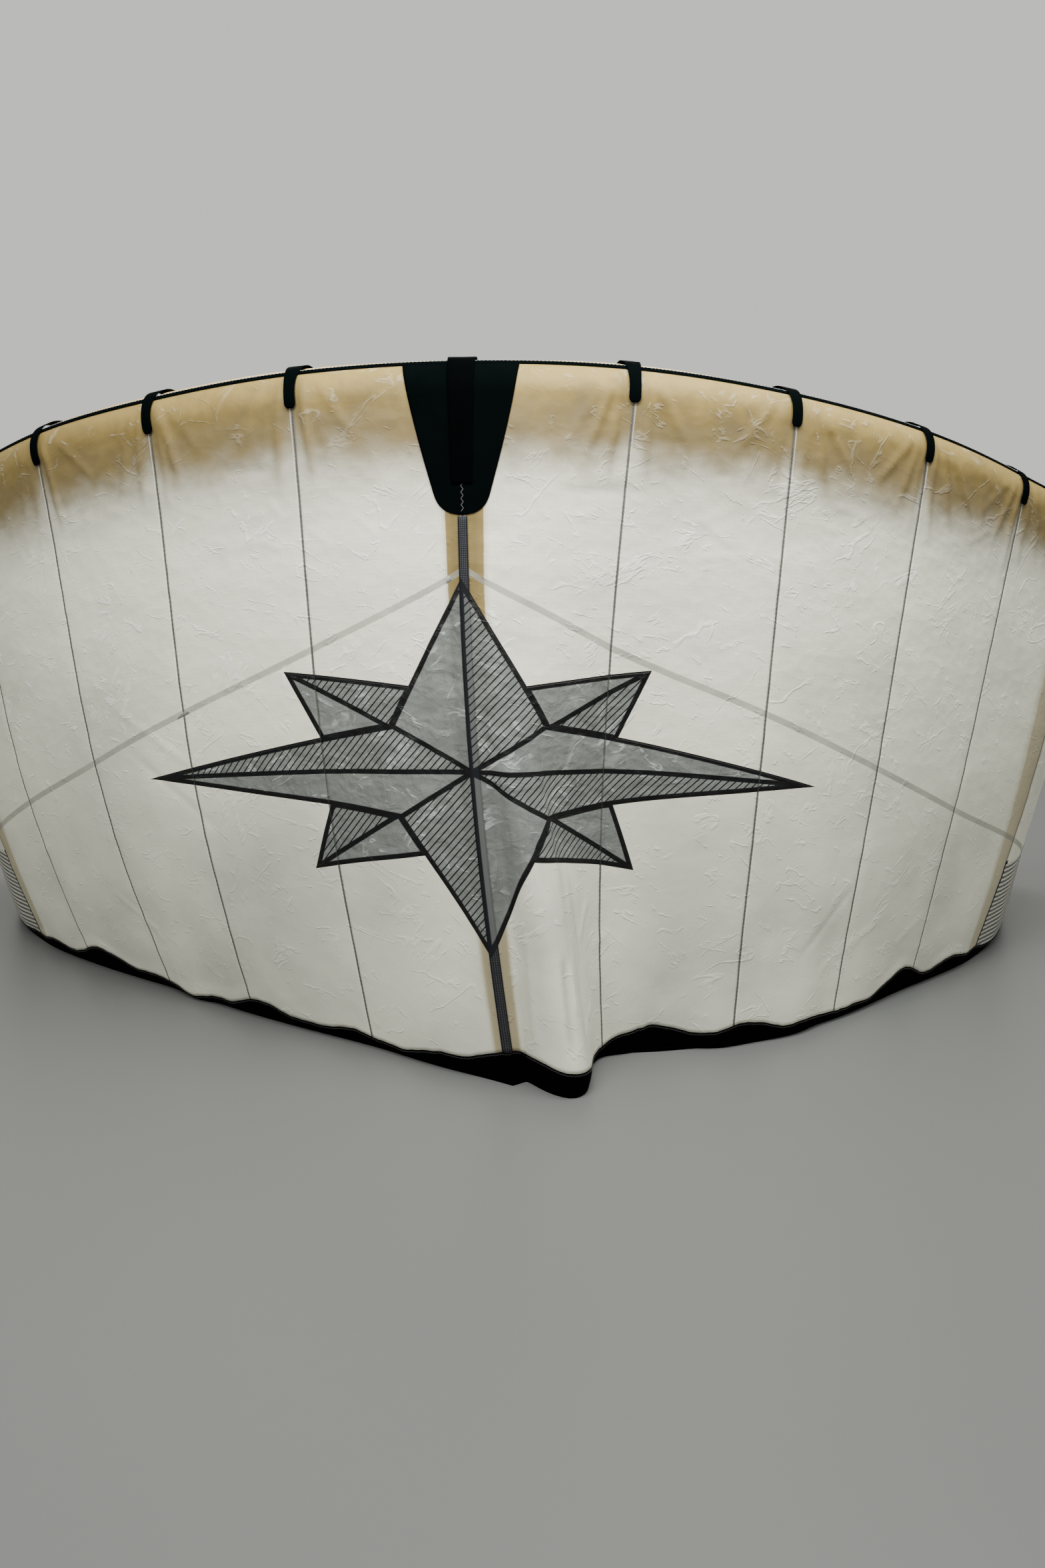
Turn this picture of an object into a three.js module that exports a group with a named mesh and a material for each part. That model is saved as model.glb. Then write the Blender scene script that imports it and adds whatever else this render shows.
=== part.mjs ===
import * as THREE from 'three';

// A leading-edge-inflatable kite standing on its trailing edge. Millimetres, +Z up, outer skin towards -Y.
// A place on the cloth is (s, a): s counts the panel seams from the centre seam, negative to the left,
// and a is the distance down the skin from the crown of the leading-edge tube.

// One row for each panel seam: te is the trailing edge on the floor, le is the seam of cloth and tube,
// tube is the tube's radius, belly is how far the cloth bows outwards, sway how far it bows sideways.
const SEAMS = [
  { at: -8, teX: -2280, teY: 1315, leX: -2470, leY: 1030, leZ: 880, tube: 54, belly: 15, sway: 0 },
  { at: -7, teX: -2260, teY: 905, leX: -2450, leY: 710, leZ: 1200, tube: 65, belly: 25, sway: 0 },
  { at: -6, teX: -2170, teY: 490, leX: -2350, leY: 330, leZ: 1470, tube: 75, belly: 40, sway: 0 },
  { at: -5, teX: -1920, teY: 120, leX: -2150, leY: -50, leZ: 1670, tube: 84, belly: 62, sway: 0 },
  { at: -4, teX: -1587, teY: -165, leX: -1850, leY: -390, leZ: 1820, tube: 91, belly: 88, sway: 0 },
  { at: -3, teX: -1207, teY: -424, leX: -1470, leY: -670, leZ: 1930, tube: 97, belly: 92, sway: 0 },
  { at: -2, teX: -851, teY: -678, leX: -1050, leY: -870, leZ: 2000, tube: 101, belly: 88, sway: 0 },
  { at: -1, teX: -411, teY: -941, leX: -600, leY: -1010, leZ: 2050, tube: 104, belly: 58, sway: -12 },
  { at: 0, teX: 22, teY: -1216, leX: -120, leY: -1070, leZ: 2070, tube: 105, belly: 20, sway: -38 },
  { at: 1, teX: 290, teY: -1012, leX: 360, leY: -1040, leZ: 2060, tube: 104, belly: 0, sway: -38 },
  { at: 2, teX: 712, teY: -935, leX: 840, leY: -910, leZ: 2010, tube: 101, belly: 14, sway: 0 },
  { at: 3, teX: 1087, teY: -720, leX: 1300, leY: -710, leZ: 1930, tube: 97, belly: 20, sway: 0 },
  { at: 4, teX: 1439, teY: -424, leX: 1720, leY: -450, leZ: 1820, tube: 91, belly: 30, sway: 0 },
  { at: 5, teX: 1820, teY: -90, leX: 2120, leY: -180, leZ: 1670, tube: 84, belly: 24, sway: 0 },
  { at: 6, teX: 2070, teY: 280, leX: 2310, leY: 210, leZ: 1480, tube: 75, belly: 14, sway: 0 },
  { at: 7, teX: 2210, teY: 670, leX: 2430, leY: 600, leZ: 1210, tube: 65, belly: 14, sway: 0 },
  { at: 8, teX: 2270, teY: 1070, leX: 2470, leY: 950, leZ: 880, tube: 54, belly: 10, sway: 0 },
];

// One row for each fold: where its crest is, its half width on each side in panels, how far it stands
// out and sideways, the part of the drop it runs over, and how its crest drifts from top to foot.
const FOLDS = [
  { at: 0.47, left: 0.35, right: 0.62, out: 165, side: -66, from: 0.55, full: 1.0, to: 9, drift: 0.1 },
  { at: 0.43, left: 0.18, right: 0.34, out: 42, side: -18, from: 0.3, full: 0.62, to: 0.95, drift: 0.36 },
  { at: -0.55, left: 0.4, right: 0.4, out: 16, side: 0, from: 0.25, full: 0.6, to: 1.1, drift: -0.2 },
  { at: 1.55, left: 0.4, right: 0.45, out: -28, side: 0, from: 0.6, full: 1.0, to: 9, drift: 0 },
  { at: 2.6, left: 0.45, right: 0.3, out: 14, side: 0, from: 0.6, full: 0.9, to: 9, drift: 0 },
  { at: -2.7, left: 0.4, right: 0.3, out: 16, side: 0, from: 0.6, full: 0.92, to: 9, drift: 0 },
];

// One row for each place where the black hem band shows higher (or, below zero, lower) off the floor.
const HEM_RISES = [
  { at: -4.6, half: 0.35, lift: 22 },
  { at: -3.8, half: 0.45, lift: 52 },
  { at: -3.7, half: 1.3, lift: 17 },
  { at: -2.7, half: 0.35, lift: -20 },
  { at: -1.9, half: 0.35, lift: 42 },
  { at: -1.15, half: 0.2, lift: 19 },
  { at: -0.8, half: 0.2, lift: -6 },
  { at: -0.45, half: 0.35, lift: 19 },
  { at: 0.05, half: 0.5, lift: 62 },
  { at: 0.5, half: 0.4, lift: 36 },
  { at: 1.4, half: 0.55, lift: 48 },
  { at: 2.1, half: 0.45, lift: 45 },
  { at: 2.7, half: 0.4, lift: 8 },
  { at: 3.85, half: 0.45, lift: 67 },
  { at: 4.5, half: 0.4, lift: 37 },
  { at: 4.95, half: 0.35, lift: 15 },
];

const HALF_PANELS = 8;
const PART_GAP = 0.0005;
const SEAM_ANGLE = THREE.MathUtils.degToRad(39);
const CLOTH_START = THREE.MathUtils.degToRad(37);
const TAPE_START = THREE.MathUtils.degToRad(33);
const TAPE_END = THREE.MathUtils.degToRad(42.5);

const CLOTH = { inner: 2, outer: 3.4 };
const TAPE = { inner: 5.4, outer: 6.4 };
const COVER = { inner: 8.2, outer: 9.4 };
const WEB = { inner: -1, outer: 0 };
const BAND = { inner: 1.8, outer: 4 };

const BAND_WIDTH = 92;
const BAND_RISE = 42;
const BAND_JOINT = 0.4;
const LEAST_TURN = 3;
const STRUT_CLEAR = 0.4;
const HEM_TUCK = 16;
const HEM_FADE = 240;
const BELLY_LEAN = 1.3;
const CORNER_REACH = 0.8;
const WRAP_STEPS = 5;
const DROP_ROWS = [0.09, 0.21, 0.34, 0.47, 0.59, 0.7, 0.79, 0.87, 0.93, 1];
const TUBE_SIDES = 14;
const STRUT_SIDES = 12;
const TUBE_END_ROUND = [0.5, 0.87];

const PATCH = { halfWidth: 162, length: 420, steps: 12, slant: 0.62, curve: 1.25 };
const PATCH_FOOT = { from: 0.84, power: 3.4, depth: 0.98 };
const COVER_STRIP = { topHalf: 42, footHalf: 29, length: 335, behind: -62, steps: 16 };
const SEAM_TAPE_HALF = 13;
const ROW_MERGE = 9;
const TAB = { topHalf: 27, footHalf: 17, below: 98, behind: -58, steps: 12, last: 6 };
const TAB_NECK = { from: 0.25, to: 0.8 };
const TAB_END = { from: 0.94, depth: 0.72 };
const WEB_HALF = 10;
const WEB_APEX = 0.238;
const WEB_FOOT = 0.768;
const WEB_BEND = 0.88;
const WEB_END = 6;

const STRUTS = [
  { name: 'strut_left', at: -5, top: 44, foot: 34, set: 0 },
  { name: 'strut_centre', at: 0, top: 50, foot: 41, set: 16 },
  { name: 'strut_right', at: 5, top: 44, foot: 34, set: 0 },
];
const STRUT_GAP = 5;
const STRUT_ROOT = 6;
const STRUT_ROWS = 7;

const MATERIALS = {
  cloth: new THREE.MeshStandardMaterial({ color: '#d3d1c8', roughness: 0.55, metalness: 0 }),
  tube: new THREE.MeshStandardMaterial({ color: '#c9ab6b', roughness: 0.6, metalness: 0 }),
  black: new THREE.MeshStandardMaterial({ color: '#14161a', roughness: 0.7, metalness: 0 }),
  seam: new THREE.MeshStandardMaterial({ color: '#4a4c50', roughness: 0.8, metalness: 0 }),
  web: new THREE.MeshStandardMaterial({ color: '#9a9a94', roughness: 0.7, metalness: 0 }),
};

const clamp = THREE.MathUtils.clamp;
const lerp = THREE.MathUtils.lerp;

// Value of one column between the seams, on a smooth curve through the rows.
function column(name, s) {
  const last = SEAMS.length - 2;
  const row = clamp(Math.floor(s) + HALF_PANELS, 0, last);
  const t = s + HALF_PANELS - row;
  const b = SEAMS[row][name];
  const c = SEAMS[row + 1][name];
  const a = row > 0 ? SEAMS[row - 1][name] : 2 * b - c;
  const d = row < last ? SEAMS[row + 2][name] : 2 * c - b;
  return b + 0.5 * t * (c - a + t * (2 * a - 5 * b + 4 * c - d + t * (3 * (b - c) + d - a)));
}

// Value of one column on straight runs between the seams.
function straight(name, s) {
  const row = clamp(Math.floor(s) + HALF_PANELS, 0, SEAMS.length - 2);
  return lerp(SEAMS[row][name], SEAMS[row + 1][name], s + HALF_PANELS - row);
}

// Trailing edge on the floor, rounded but for the crisp corner that the centre strut pushes out.
function trailingEdge(s) {
  const corner = Math.exp(-((s / CORNER_REACH) ** 2));
  const x = lerp(column('teX', s), straight('teX', s), corner);
  const y = lerp(column('teY', s), straight('teY', s), corner);
  return new THREE.Vector3(x, y, 0);
}

function leadingSeam(s) {
  return new THREE.Vector3(column('leX', s), column('leY', s), column('leZ', s));
}

// Level directions at the foot: along the trailing edge, and out of it.
function footDirections(s) {
  const step = 0.4;
  const x = column('teX', s + step) - column('teX', s - step);
  const y = column('teY', s + step) - column('teY', s - step);
  const side = new THREE.Vector3(x, y, 0).normalize();
  return { side, out: new THREE.Vector3(side.y, -side.x, 0) };
}

// Tube centre, its directions, and where the cloth leaves it for the trailing edge.
function tubeFrame(s) {
  const step = 0.05;
  const seam = leadingSeam(s);
  const along = leadingSeam(s + step).sub(leadingSeam(s - step)).normalize();
  const te = trailingEdge(s);
  const down = te.clone().sub(seam);
  down.addScaledVector(along, -down.dot(along)).normalize();
  const out = down.clone().cross(along).normalize();
  const radius = column('tube', s);
  const centre = seam.clone();
  centre.addScaledVector(down, radius * Math.cos(SEAM_ANGLE));
  centre.addScaledVector(out, -radius * Math.sin(SEAM_ANGLE));
  const reach = te.clone().sub(centre);
  const leave = Math.PI / 2 + Math.asin(radius / reach.dot(down));
  const frame = { centre, along, down, out, radius, te, leave };
  frame.leavePoint = onTube(frame, leave, radius);
  frame.drop = te.distanceTo(frame.leavePoint);
  return frame;
}

function onTube(frame, angle, radius) {
  const point = frame.centre.clone();
  point.addScaledVector(frame.out, radius * Math.sin(angle));
  return point.addScaledVector(frame.down, -radius * Math.cos(angle));
}

function bump(x, left, right) {
  const u = clamp(x < 0 ? -x / left : x / right, 0, 1);
  return 0.5 + 0.5 * Math.cos(Math.PI * u);
}

function smoothStep(from, to, x) {
  return THREE.MathUtils.smoothstep(x, from, to);
}

// One at a strut's seam, falling to nothing beside it.
function nearStrut(s) {
  return Math.max(...STRUTS.map((row) => bump(s - row.at, STRUT_CLEAR, STRUT_CLEAR)));
}

// Height of the trailing-edge band's upper edge off the floor; the rest of its width is turned in under.
function bandRise(s) {
  return HEM_RISES.reduce((sum, row) => sum + row.lift * bump(s - row.at, row.half, row.half), BAND_RISE);
}

function bandTurn(s) {
  const under = clamp(BAND_WIDTH - bandRise(s), 0, BAND_WIDTH) * (1 - nearStrut(s));
  return Math.max(under, LEAST_TURN);
}

// How far the cloth stands from its straight drop at the part w of the way down.
function bowing(s, w, drop) {
  const { side, out } = footDirections(s);
  const above = (1 - w) * drop;
  const rise = bandRise(s);
  const tuckShape = above < rise
    ? Math.sin((Math.PI / 2) * (above / rise))
    : Math.exp(-(((above - rise) / HEM_FADE) ** 2));
  const tuck = HEM_TUCK * (1 - nearStrut(s)) * tuckShape;
  let outward = column('belly', s) * Math.sin(Math.PI * w ** BELLY_LEAN) + tuck;
  let sideways = column('sway', s) * Math.sin(Math.PI * w);
  for (const fold of FOLDS) {
    const crest = fold.at - fold.drift * (1 - w);
    const grow = smoothStep(fold.from, fold.full, w) * (1 - smoothStep(fold.full, fold.to, w));
    const height = bump(s - crest, fold.left, fold.right) * grow;
    outward += fold.out * height;
    sideways += fold.side * height;
  }
  return out.multiplyScalar(outward).addScaledVector(side, sideways);
}

function skinLength(s) {
  const frame = tubeFrame(s);
  return frame.leave * frame.radius + frame.drop;
}

// Point of the skin's inner face.
function skinBase(s, a) {
  const frame = tubeFrame(s);
  const leaveLength = frame.leave * frame.radius;
  if (a <= leaveLength) return onTube(frame, a / frame.radius, frame.radius);
  const w = Math.min((a - leaveLength) / frame.drop, 1);
  return frame.leavePoint.clone().lerp(frame.te, w).add(bowing(s, w, frame.drop));
}

function skinNormal(s, a) {
  const down = skinBase(s, a + 6).sub(skinBase(s, a - 6));
  const side = skinBase(s + 0.02, a).sub(skinBase(s - 0.02, a));
  return down.cross(side).normalize();
}

// Point at a height over the skin; on the floor the height is level.
function skin(s, a, lift) {
  const point = skinBase(s, a);
  const normal = skinNormal(s, a);
  if (point.z < 0.01) normal.setZ(0).normalize();
  return point.addScaledVector(normal, lift);
}

// Millimetres along the skin for one panel at a place.
function panelWidth(s, a) {
  return skinBase(s + 0.05, a).distanceTo(skinBase(s - 0.05, a)) / 0.1;
}

function solid(name, points, faces, material) {
  const geometry = new THREE.BufferGeometry();
  const numbers = points.flatMap((point) => [point.x, point.y, point.z]);
  geometry.setAttribute('position', new THREE.Float32BufferAttribute(numbers, 3));
  geometry.setIndex(faces.flat());
  geometry.computeVertexNormals();
  const mesh = new THREE.Mesh(geometry, material);
  mesh.name = name;
  return mesh;
}

function columnsOf(index) {
  if (index === 0) return 12;
  return Math.abs(index + 0.5) < 5 ? 6 : 5;
}

// Places across one panel, kept a hair off its seams.
function panelColumns(index) {
  const steps = columnsOf(index);
  return Array.from({ length: steps + 1 }, (_, i) => index + lerp(PART_GAP, 1 - PART_GAP, i / steps));
}

// Distances down the skin of the cloth's rows: round the tube, then down to the hem band.
function clothRows(s) {
  const frame = tubeFrame(s);
  const top = frame.leave * frame.radius;
  const foot = top + frame.drop - bandRise(s) - BAND_JOINT;
  const wrap = Array.from({ length: WRAP_STEPS + 1 }, (_, j) => {
    return lerp(CLOTH_START, frame.leave, j / WRAP_STEPS) * frame.radius;
  });
  return [...wrap, ...DROP_ROWS.map((part) => lerp(top, foot, part))];
}

// Point at a height over the cloth's rows down one column, or over the bare tube above them.
function onRows(s, a, lift) {
  const rows = clothRows(s);
  if (a <= rows[0]) return skin(s, a, lift);
  const found = rows.findIndex((row) => row > a);
  const next = found < 0 ? rows.length - 1 : found;
  const [above, below] = [rows[next - 1], rows[next]];
  return skin(s, above, lift).lerp(skin(s, below, lift), (a - above) / (below - above));
}

// Point at a height over the cloth's own flat facets.
function facet(s, a, lift) {
  const columns = panelColumns(clamp(Math.floor(s), -HALF_PANELS, HALF_PANELS - 1));
  const next = Math.max(columns.findIndex((edge) => edge >= s), 1);
  const part = (s - columns[next - 1]) / (columns[next] - columns[next - 1]);
  return onRows(columns[next - 1], a, lift).lerp(onRows(columns[next], a, lift), part);
}

// Closed sheet over a grid of places, rows running down the skin.
function sheet(name, rows, layer, material, place = skin) {
  const across = rows[0].length;
  const count = rows.length * across;
  const cells = rows.flat();
  const outer = cells.map(([s, a]) => place(s, a, layer.outer));
  const inner = cells.map(([s, a]) => place(s, a, layer.inner));
  const faces = [];
  const quad = (a, b, c, d) => faces.push([a, b, c], [a, c, d]);
  const at = (j, i) => j * across + i;
  for (let j = 0; j + 1 < rows.length; j += 1) {
    for (let i = 0; i + 1 < across; i += 1) {
      quad(at(j, i), at(j + 1, i), at(j + 1, i + 1), at(j, i + 1));
      quad(count + at(j, i), count + at(j, i + 1), count + at(j + 1, i + 1), count + at(j + 1, i));
    }
    const right = across - 1;
    quad(at(j + 1, 0), at(j, 0), count + at(j, 0), count + at(j + 1, 0));
    quad(at(j, right), at(j + 1, right), count + at(j + 1, right), count + at(j, right));
  }
  const foot = rows.length - 1;
  for (let i = 0; i + 1 < across; i += 1) {
    quad(at(0, i), at(0, i + 1), count + at(0, i + 1), count + at(0, i));
    quad(at(foot, i + 1), at(foot, i), count + at(foot, i), count + at(foot, i + 1));
  }
  return solid(name, [...outer, ...inner], faces, material);
}

// Closed tube through rings of points, each end closed on its own middle point.
function tube(name, rings, ends, material) {
  const sides = rings[0].length;
  const faces = [];
  const firstEnd = rings.length * sides;
  for (let j = 0; j < rings.length; j += 1) {
    for (let i = 0; i < sides; i += 1) {
      const here = j * sides + i;
      const next = j * sides + ((i + 1) % sides);
      if (j === 0) faces.push([firstEnd, next, here]);
      if (j === rings.length - 1) faces.push([firstEnd + 1, here, next]);
      else faces.push([here, next, next + sides], [here, next + sides, here + sides]);
    }
  }
  return solid(name, [...rings.flat(), ...ends], faces, material);
}

function seamName(s) {
  if (s === 0) return 'centre';
  return `${s < 0 ? 'left' : 'right'}_${Math.abs(s)}`;
}

function panelName(index) {
  return index < 0 ? `left_${-index}` : `right_${index + 1}`;
}

function clothPanel(index) {
  const columns = panelColumns(index).map((s) => clothRows(s).map((a) => [s, a]));
  const rows = columns[0].map((_, j) => columns.map((places) => places[j]));
  return sheet(`panel_${panelName(index)}`, rows, CLOTH, MATERIALS.cloth);
}

function tubeRing(s, radius, shift) {
  const frame = tubeFrame(s);
  frame.centre.addScaledVector(frame.along, shift);
  const turns = Array.from({ length: TUBE_SIDES }, (_, i) => (i / TUBE_SIDES) * 2 * Math.PI);
  return turns.map((turn) => onTube(frame, turn, radius));
}

// One sewn length of the leading-edge tube, with a rounded end at the tips.
function edgeTube(index) {
  const rings = [PART_GAP, 0.5, 1 - PART_GAP].map((part) => {
    const s = index + part;
    return tubeRing(s, column('tube', s), 0);
  });
  const starts = index === -HALF_PANELS;
  const ends = index === HALF_PANELS - 1;
  const tip = starts ? tubeFrame(index) : tubeFrame(index + 1);
  const roundRing = (part, way) => {
    const s = tip.radius * way * part;
    return tubeRing(starts ? index : index + 1, tip.radius * Math.sqrt(1 - part ** 2), s);
  };
  if (starts) TUBE_END_ROUND.forEach((part) => rings.unshift(roundRing(part, -1)));
  if (ends) TUBE_END_ROUND.forEach((part) => rings.push(roundRing(part, 1)));
  const first = tubeFrame(index + PART_GAP).centre;
  const last = tubeFrame(index + 1 - PART_GAP).centre;
  if (starts) first.addScaledVector(tip.along, -tip.radius);
  if (ends) last.addScaledVector(tip.along, tip.radius);
  return tube(`edge_tube_${panelName(index)}`, rings, [first, last], MATERIALS.tube);
}

// Clear distance from a point to the leading-edge tube near a seam.
function clearOfTube(point, at) {
  const gaps = Array.from({ length: 9 }, (_, i) => {
    const frame = tubeFrame(at + (i - 4) * 0.05);
    return point.distanceTo(frame.centre) - frame.radius;
  });
  return Math.min(...gaps);
}

// Inflated strut behind its seam, from the leading-edge tube down to a flat foot on the floor.
function strut(row) {
  const frame = tubeFrame(row.at);
  const { side, out } = footDirections(row.at);
  const top = frame.leave * frame.radius;
  const wallPoint = (w, drop, turn, reach) => {
    const radius = lerp(row.top, row.foot, w);
    const depth = radius + STRUT_GAP + row.set * smoothStep(0.3, 1, w);
    const point = skinBase(row.at, top + drop).addScaledVector(out, -depth);
    point.addScaledVector(side, reach * radius * Math.cos(turn));
    return point.addScaledVector(out, reach * radius * Math.sin(turn));
  };
  const rootPoint = (turn, reach) => {
    let drop = 0;
    while (clearOfTube(wallPoint(0, drop, turn, reach), row.at) < STRUT_ROOT) drop += 2;
    return wallPoint(0, drop, turn, reach);
  };
  const turns = Array.from({ length: STRUT_SIDES }, (_, i) => (i / STRUT_SIDES) * 2 * Math.PI);
  const rings = [turns.map((turn) => rootPoint(turn, 1))];
  for (let j = 1; j <= STRUT_ROWS; j += 1) {
    const w = lerp(0.05, 1, j / STRUT_ROWS);
    rings.push(turns.map((turn) => wallPoint(w, w * frame.drop, turn, 1)));
  }
  return tube(row.name, rings, [rootPoint(0, 0), wallPoint(1, frame.drop, 0, 0)], MATERIALS.tube);
}

// Strip along a span of the leading edge or the hem, following the panels' own columns.
function spanStrip(name, first, last, layer, material, rowsAt, place = skin) {
  const across = [];
  for (let index = first; index < last; index += 1) {
    const own = panelColumns(index);
    across.push(...(index + 1 < last ? own.slice(0, -1) : own));
  }
  const columns = across.map((s) => rowsAt(s).map((a) => [s, a]));
  const rows = columns[0].map((_, j) => columns.map((places) => places[j]));
  return sheet(name, rows, layer, material, place);
}

function edgeTape(name, first, last) {
  return spanStrip(name, first, last, TAPE, MATERIALS.black, (s) => {
    const radius = column('tube', s);
    return [TAPE_START, (TAPE_START + TAPE_END) / 2, TAPE_END].map((angle) => angle * radius);
  });
}

// Point of the hem band: down the skin to the floor, then turned in along the floor.
function hemPlace(s, a, lift) {
  const over = a - skinLength(s);
  const level = BAND.outer - lift;
  if (over > 0.01) return trailingEdge(s).addScaledVector(footDirections(s).out, -over).setZ(level);
  const point = skin(s, a, lift);
  return point.setZ(Math.max(point.z, level));
}

function hemBand(name, first, last) {
  return spanStrip(name, first, last, BAND, MATERIALS.black, (s) => {
    const foot = skinLength(s);
    const rise = bandRise(s);
    return [foot - rise, foot - rise / 2, foot, foot + bandTurn(s)];
  }, hemPlace);
}

// Distances down a seam for a piece laid over the cloth: its ends, its own steps and the cloth's rows.
function layRows(s, from, to, steps) {
  const own = Array.from({ length: steps - 1 }, (_, j) => lerp(from, to, (j + 1) / steps));
  const cloth = clothRows(s).filter((a) => a > from + 2 && a < to - 2);
  const clear = own.filter((a) => cloth.every((row) => Math.abs(row - a) > ROW_MERGE));
  return [from, ...[...cloth, ...clear].sort((a, b) => a - b), to];
}

// Strip down the skin, centred on a seam; half(t) is its half width at the part t of its length.
function seamStrip(name, at, from, to, steps, layer, material, half) {
  const rows = layRows(at, from, to, steps).map((a) => {
    const reach = half((a - from) / (to - from)) / panelWidth(at, a);
    return [-1, 0, 1].map((way) => [at + way * reach, a]);
  });
  return sheet(name, rows, layer, material, facet);
}

function centrePatch() {
  const from = TAPE_END * column('tube', 0) + 1;
  const scale = panelWidth(0, from);
  const half = (t) => {
    const round = clamp((t - PATCH_FOOT.from) / (1 - PATCH_FOOT.from), 0, 1) ** PATCH_FOOT.power;
    return PATCH.halfWidth * (1 - PATCH.slant * t ** PATCH.curve) * Math.sqrt(1 - PATCH_FOOT.depth * round);
  };
  const rows = layRows(0, from, from + PATCH.length, PATCH.steps).map((a) => {
    const reach = half((a - from) / PATCH.length) / scale;
    return [-1, -0.6, -0.2, 0, 0.2, 0.6, 1].map((way) => [way * reach, a]);
  });
  return sheet('centre_patch', rows, TAPE, MATERIALS.black, facet);
}

function coverStrip() {
  const to = TAPE_END * column('tube', 0) + COVER_STRIP.length;
  const half = (t) => lerp(COVER_STRIP.topHalf, COVER_STRIP.footHalf, t);
  const { behind, steps } = COVER_STRIP;
  return seamStrip('centre_cover', 0, behind, to, steps, COVER, MATERIALS.black, half);
}

function centreSeamTape() {
  const from = TAPE_END * column('tube', 0) + PATCH.length + 4;
  const to = skinLength(0) - bandRise(0) - BAND_JOINT;
  return seamStrip('centre_seam_tape', 0, from, to, 1, TAPE, MATERIALS.seam, () => SEAM_TAPE_HALF);
}

// Black tab over a seam, from behind the tube's crown to a rounded end on the cloth.
function seamTab(at) {
  const to = TAPE_END * column('tube', at) + TAB.below;
  const half = (t) => {
    const round = clamp((t - TAB_END.from) / (1 - TAB_END.from), 0, 1);
    const width = lerp(TAB.topHalf, TAB.footHalf, smoothStep(TAB_NECK.from, TAB_NECK.to, t));
    return width * Math.sqrt(1 - TAB_END.depth * round ** 2);
  };
  return seamStrip(`seam_tab_${seamName(at)}`, at, TAB.behind, to, TAB.steps, COVER, MATERIALS.black, half);
}

// Load tape on the inner face, from the centre seam down towards a tip.
function loadTape(name, first, last) {
  return spanStrip(name, first, last, WEB, MATERIALS.web, (s) => {
    const part = lerp(WEB_APEX, WEB_FOOT, (Math.abs(s) / WEB_END) ** WEB_BEND);
    const frame = tubeFrame(s);
    const a = frame.leave * frame.radius + part * frame.drop;
    return [a - WEB_HALF, a + WEB_HALF];
  }, facet);
}

function buildKite() {
  const kite = new THREE.Group();
  for (let index = -HALF_PANELS; index < HALF_PANELS; index += 1) {
    kite.add(clothPanel(index), edgeTube(index));
  }
  STRUTS.forEach((row) => kite.add(strut(row)));
  kite.add(edgeTape('edge_tape_left', -HALF_PANELS, 0), edgeTape('edge_tape_right', 0, HALF_PANELS));
  kite.add(hemBand('hem_band_left', -HALF_PANELS, 0), hemBand('hem_band_right', 0, HALF_PANELS));
  kite.add(centrePatch(), coverStrip(), centreSeamTape());
  for (let at = 1; at <= TAB.last; at += 1) {
    kite.add(seamTab(-at), seamTab(at));
  }
  kite.add(loadTape('load_tape_left', -WEB_END, 0), loadTape('load_tape_right', 0, WEB_END));
  return kite;
}

export default buildKite();
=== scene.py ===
"""Looks of an inflatable kite that stands on its trailing edge: cloth, tubes, tapes and stitching.

Metres, +Z up, the outer skin towards -Y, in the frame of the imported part. A place on the cloth is (s, a):
s counts the panel seams from the centre seam, negative to the left, and a is the distance down the skin
from the crown of the leading-edge tube.
"""

import logging
import math
from dataclasses import dataclass
from enum import Enum
from typing import Any, Callable, Sequence

import bpy
import numpy as np
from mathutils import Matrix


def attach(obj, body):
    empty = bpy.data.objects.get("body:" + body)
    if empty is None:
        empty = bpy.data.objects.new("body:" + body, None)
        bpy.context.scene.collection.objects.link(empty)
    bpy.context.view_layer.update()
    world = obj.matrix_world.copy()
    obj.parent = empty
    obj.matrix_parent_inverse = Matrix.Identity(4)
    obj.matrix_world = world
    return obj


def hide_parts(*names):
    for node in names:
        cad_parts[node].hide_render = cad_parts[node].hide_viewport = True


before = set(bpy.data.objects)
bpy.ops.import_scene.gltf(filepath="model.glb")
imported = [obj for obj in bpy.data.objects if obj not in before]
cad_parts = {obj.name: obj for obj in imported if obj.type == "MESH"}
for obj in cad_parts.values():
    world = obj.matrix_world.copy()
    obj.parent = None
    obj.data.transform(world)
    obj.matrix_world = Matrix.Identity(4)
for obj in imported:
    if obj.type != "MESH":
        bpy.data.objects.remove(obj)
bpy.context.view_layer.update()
LOG = logging.getLogger("kite")

Array = np.ndarray
Colour = tuple[float, float, float, float]
Pair = tuple[float, float]
Triple = tuple[float, float, float]
Path = tuple[Array, Array]  # points, and an outward direction for each
Piece = bpy.types.Object
HALF_PANELS = 8
PANELS = range(-HALF_PANELS, HALF_PANELS)
SIDES = (("left", -HALF_PANELS, 0), ("right", 0, HALF_PANELS))


class Slot(Enum):
    """The record's material slots."""

    CANOPY = "canopy_cloth"
    TUBE = "tube_cloth"
    BLACK = "black_cloth"
    SEAM_TAPE = "seam_tape"
    LOAD_TAPE = "load_tape"


class Held(Enum):
    """How a sheet of cloth is held."""

    STRETCHED = "stretched"
    LAID = "laid"


@dataclass(frozen=True)
class Seam:
    """One panel seam: its foot on the floor, its place on the tube, the tube's radius and the cloth's bow."""

    te_x: float
    te_y: float
    le_x: float
    le_y: float
    le_z: float
    tube: float
    belly: float
    sway: float


@dataclass(frozen=True)
class Fold:
    """A standing fold: its crest, half widths in panels, how far it stands out, and where down the drop."""

    at: float
    left: float
    right: float
    out: float
    side: float
    start: float
    full: float
    end: float
    drift: float


@dataclass(frozen=True)
class Rise:
    """A stretch of the hem where the black band shows higher off the floor, or lower below zero."""

    at: float
    half: float
    lift: float


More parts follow.
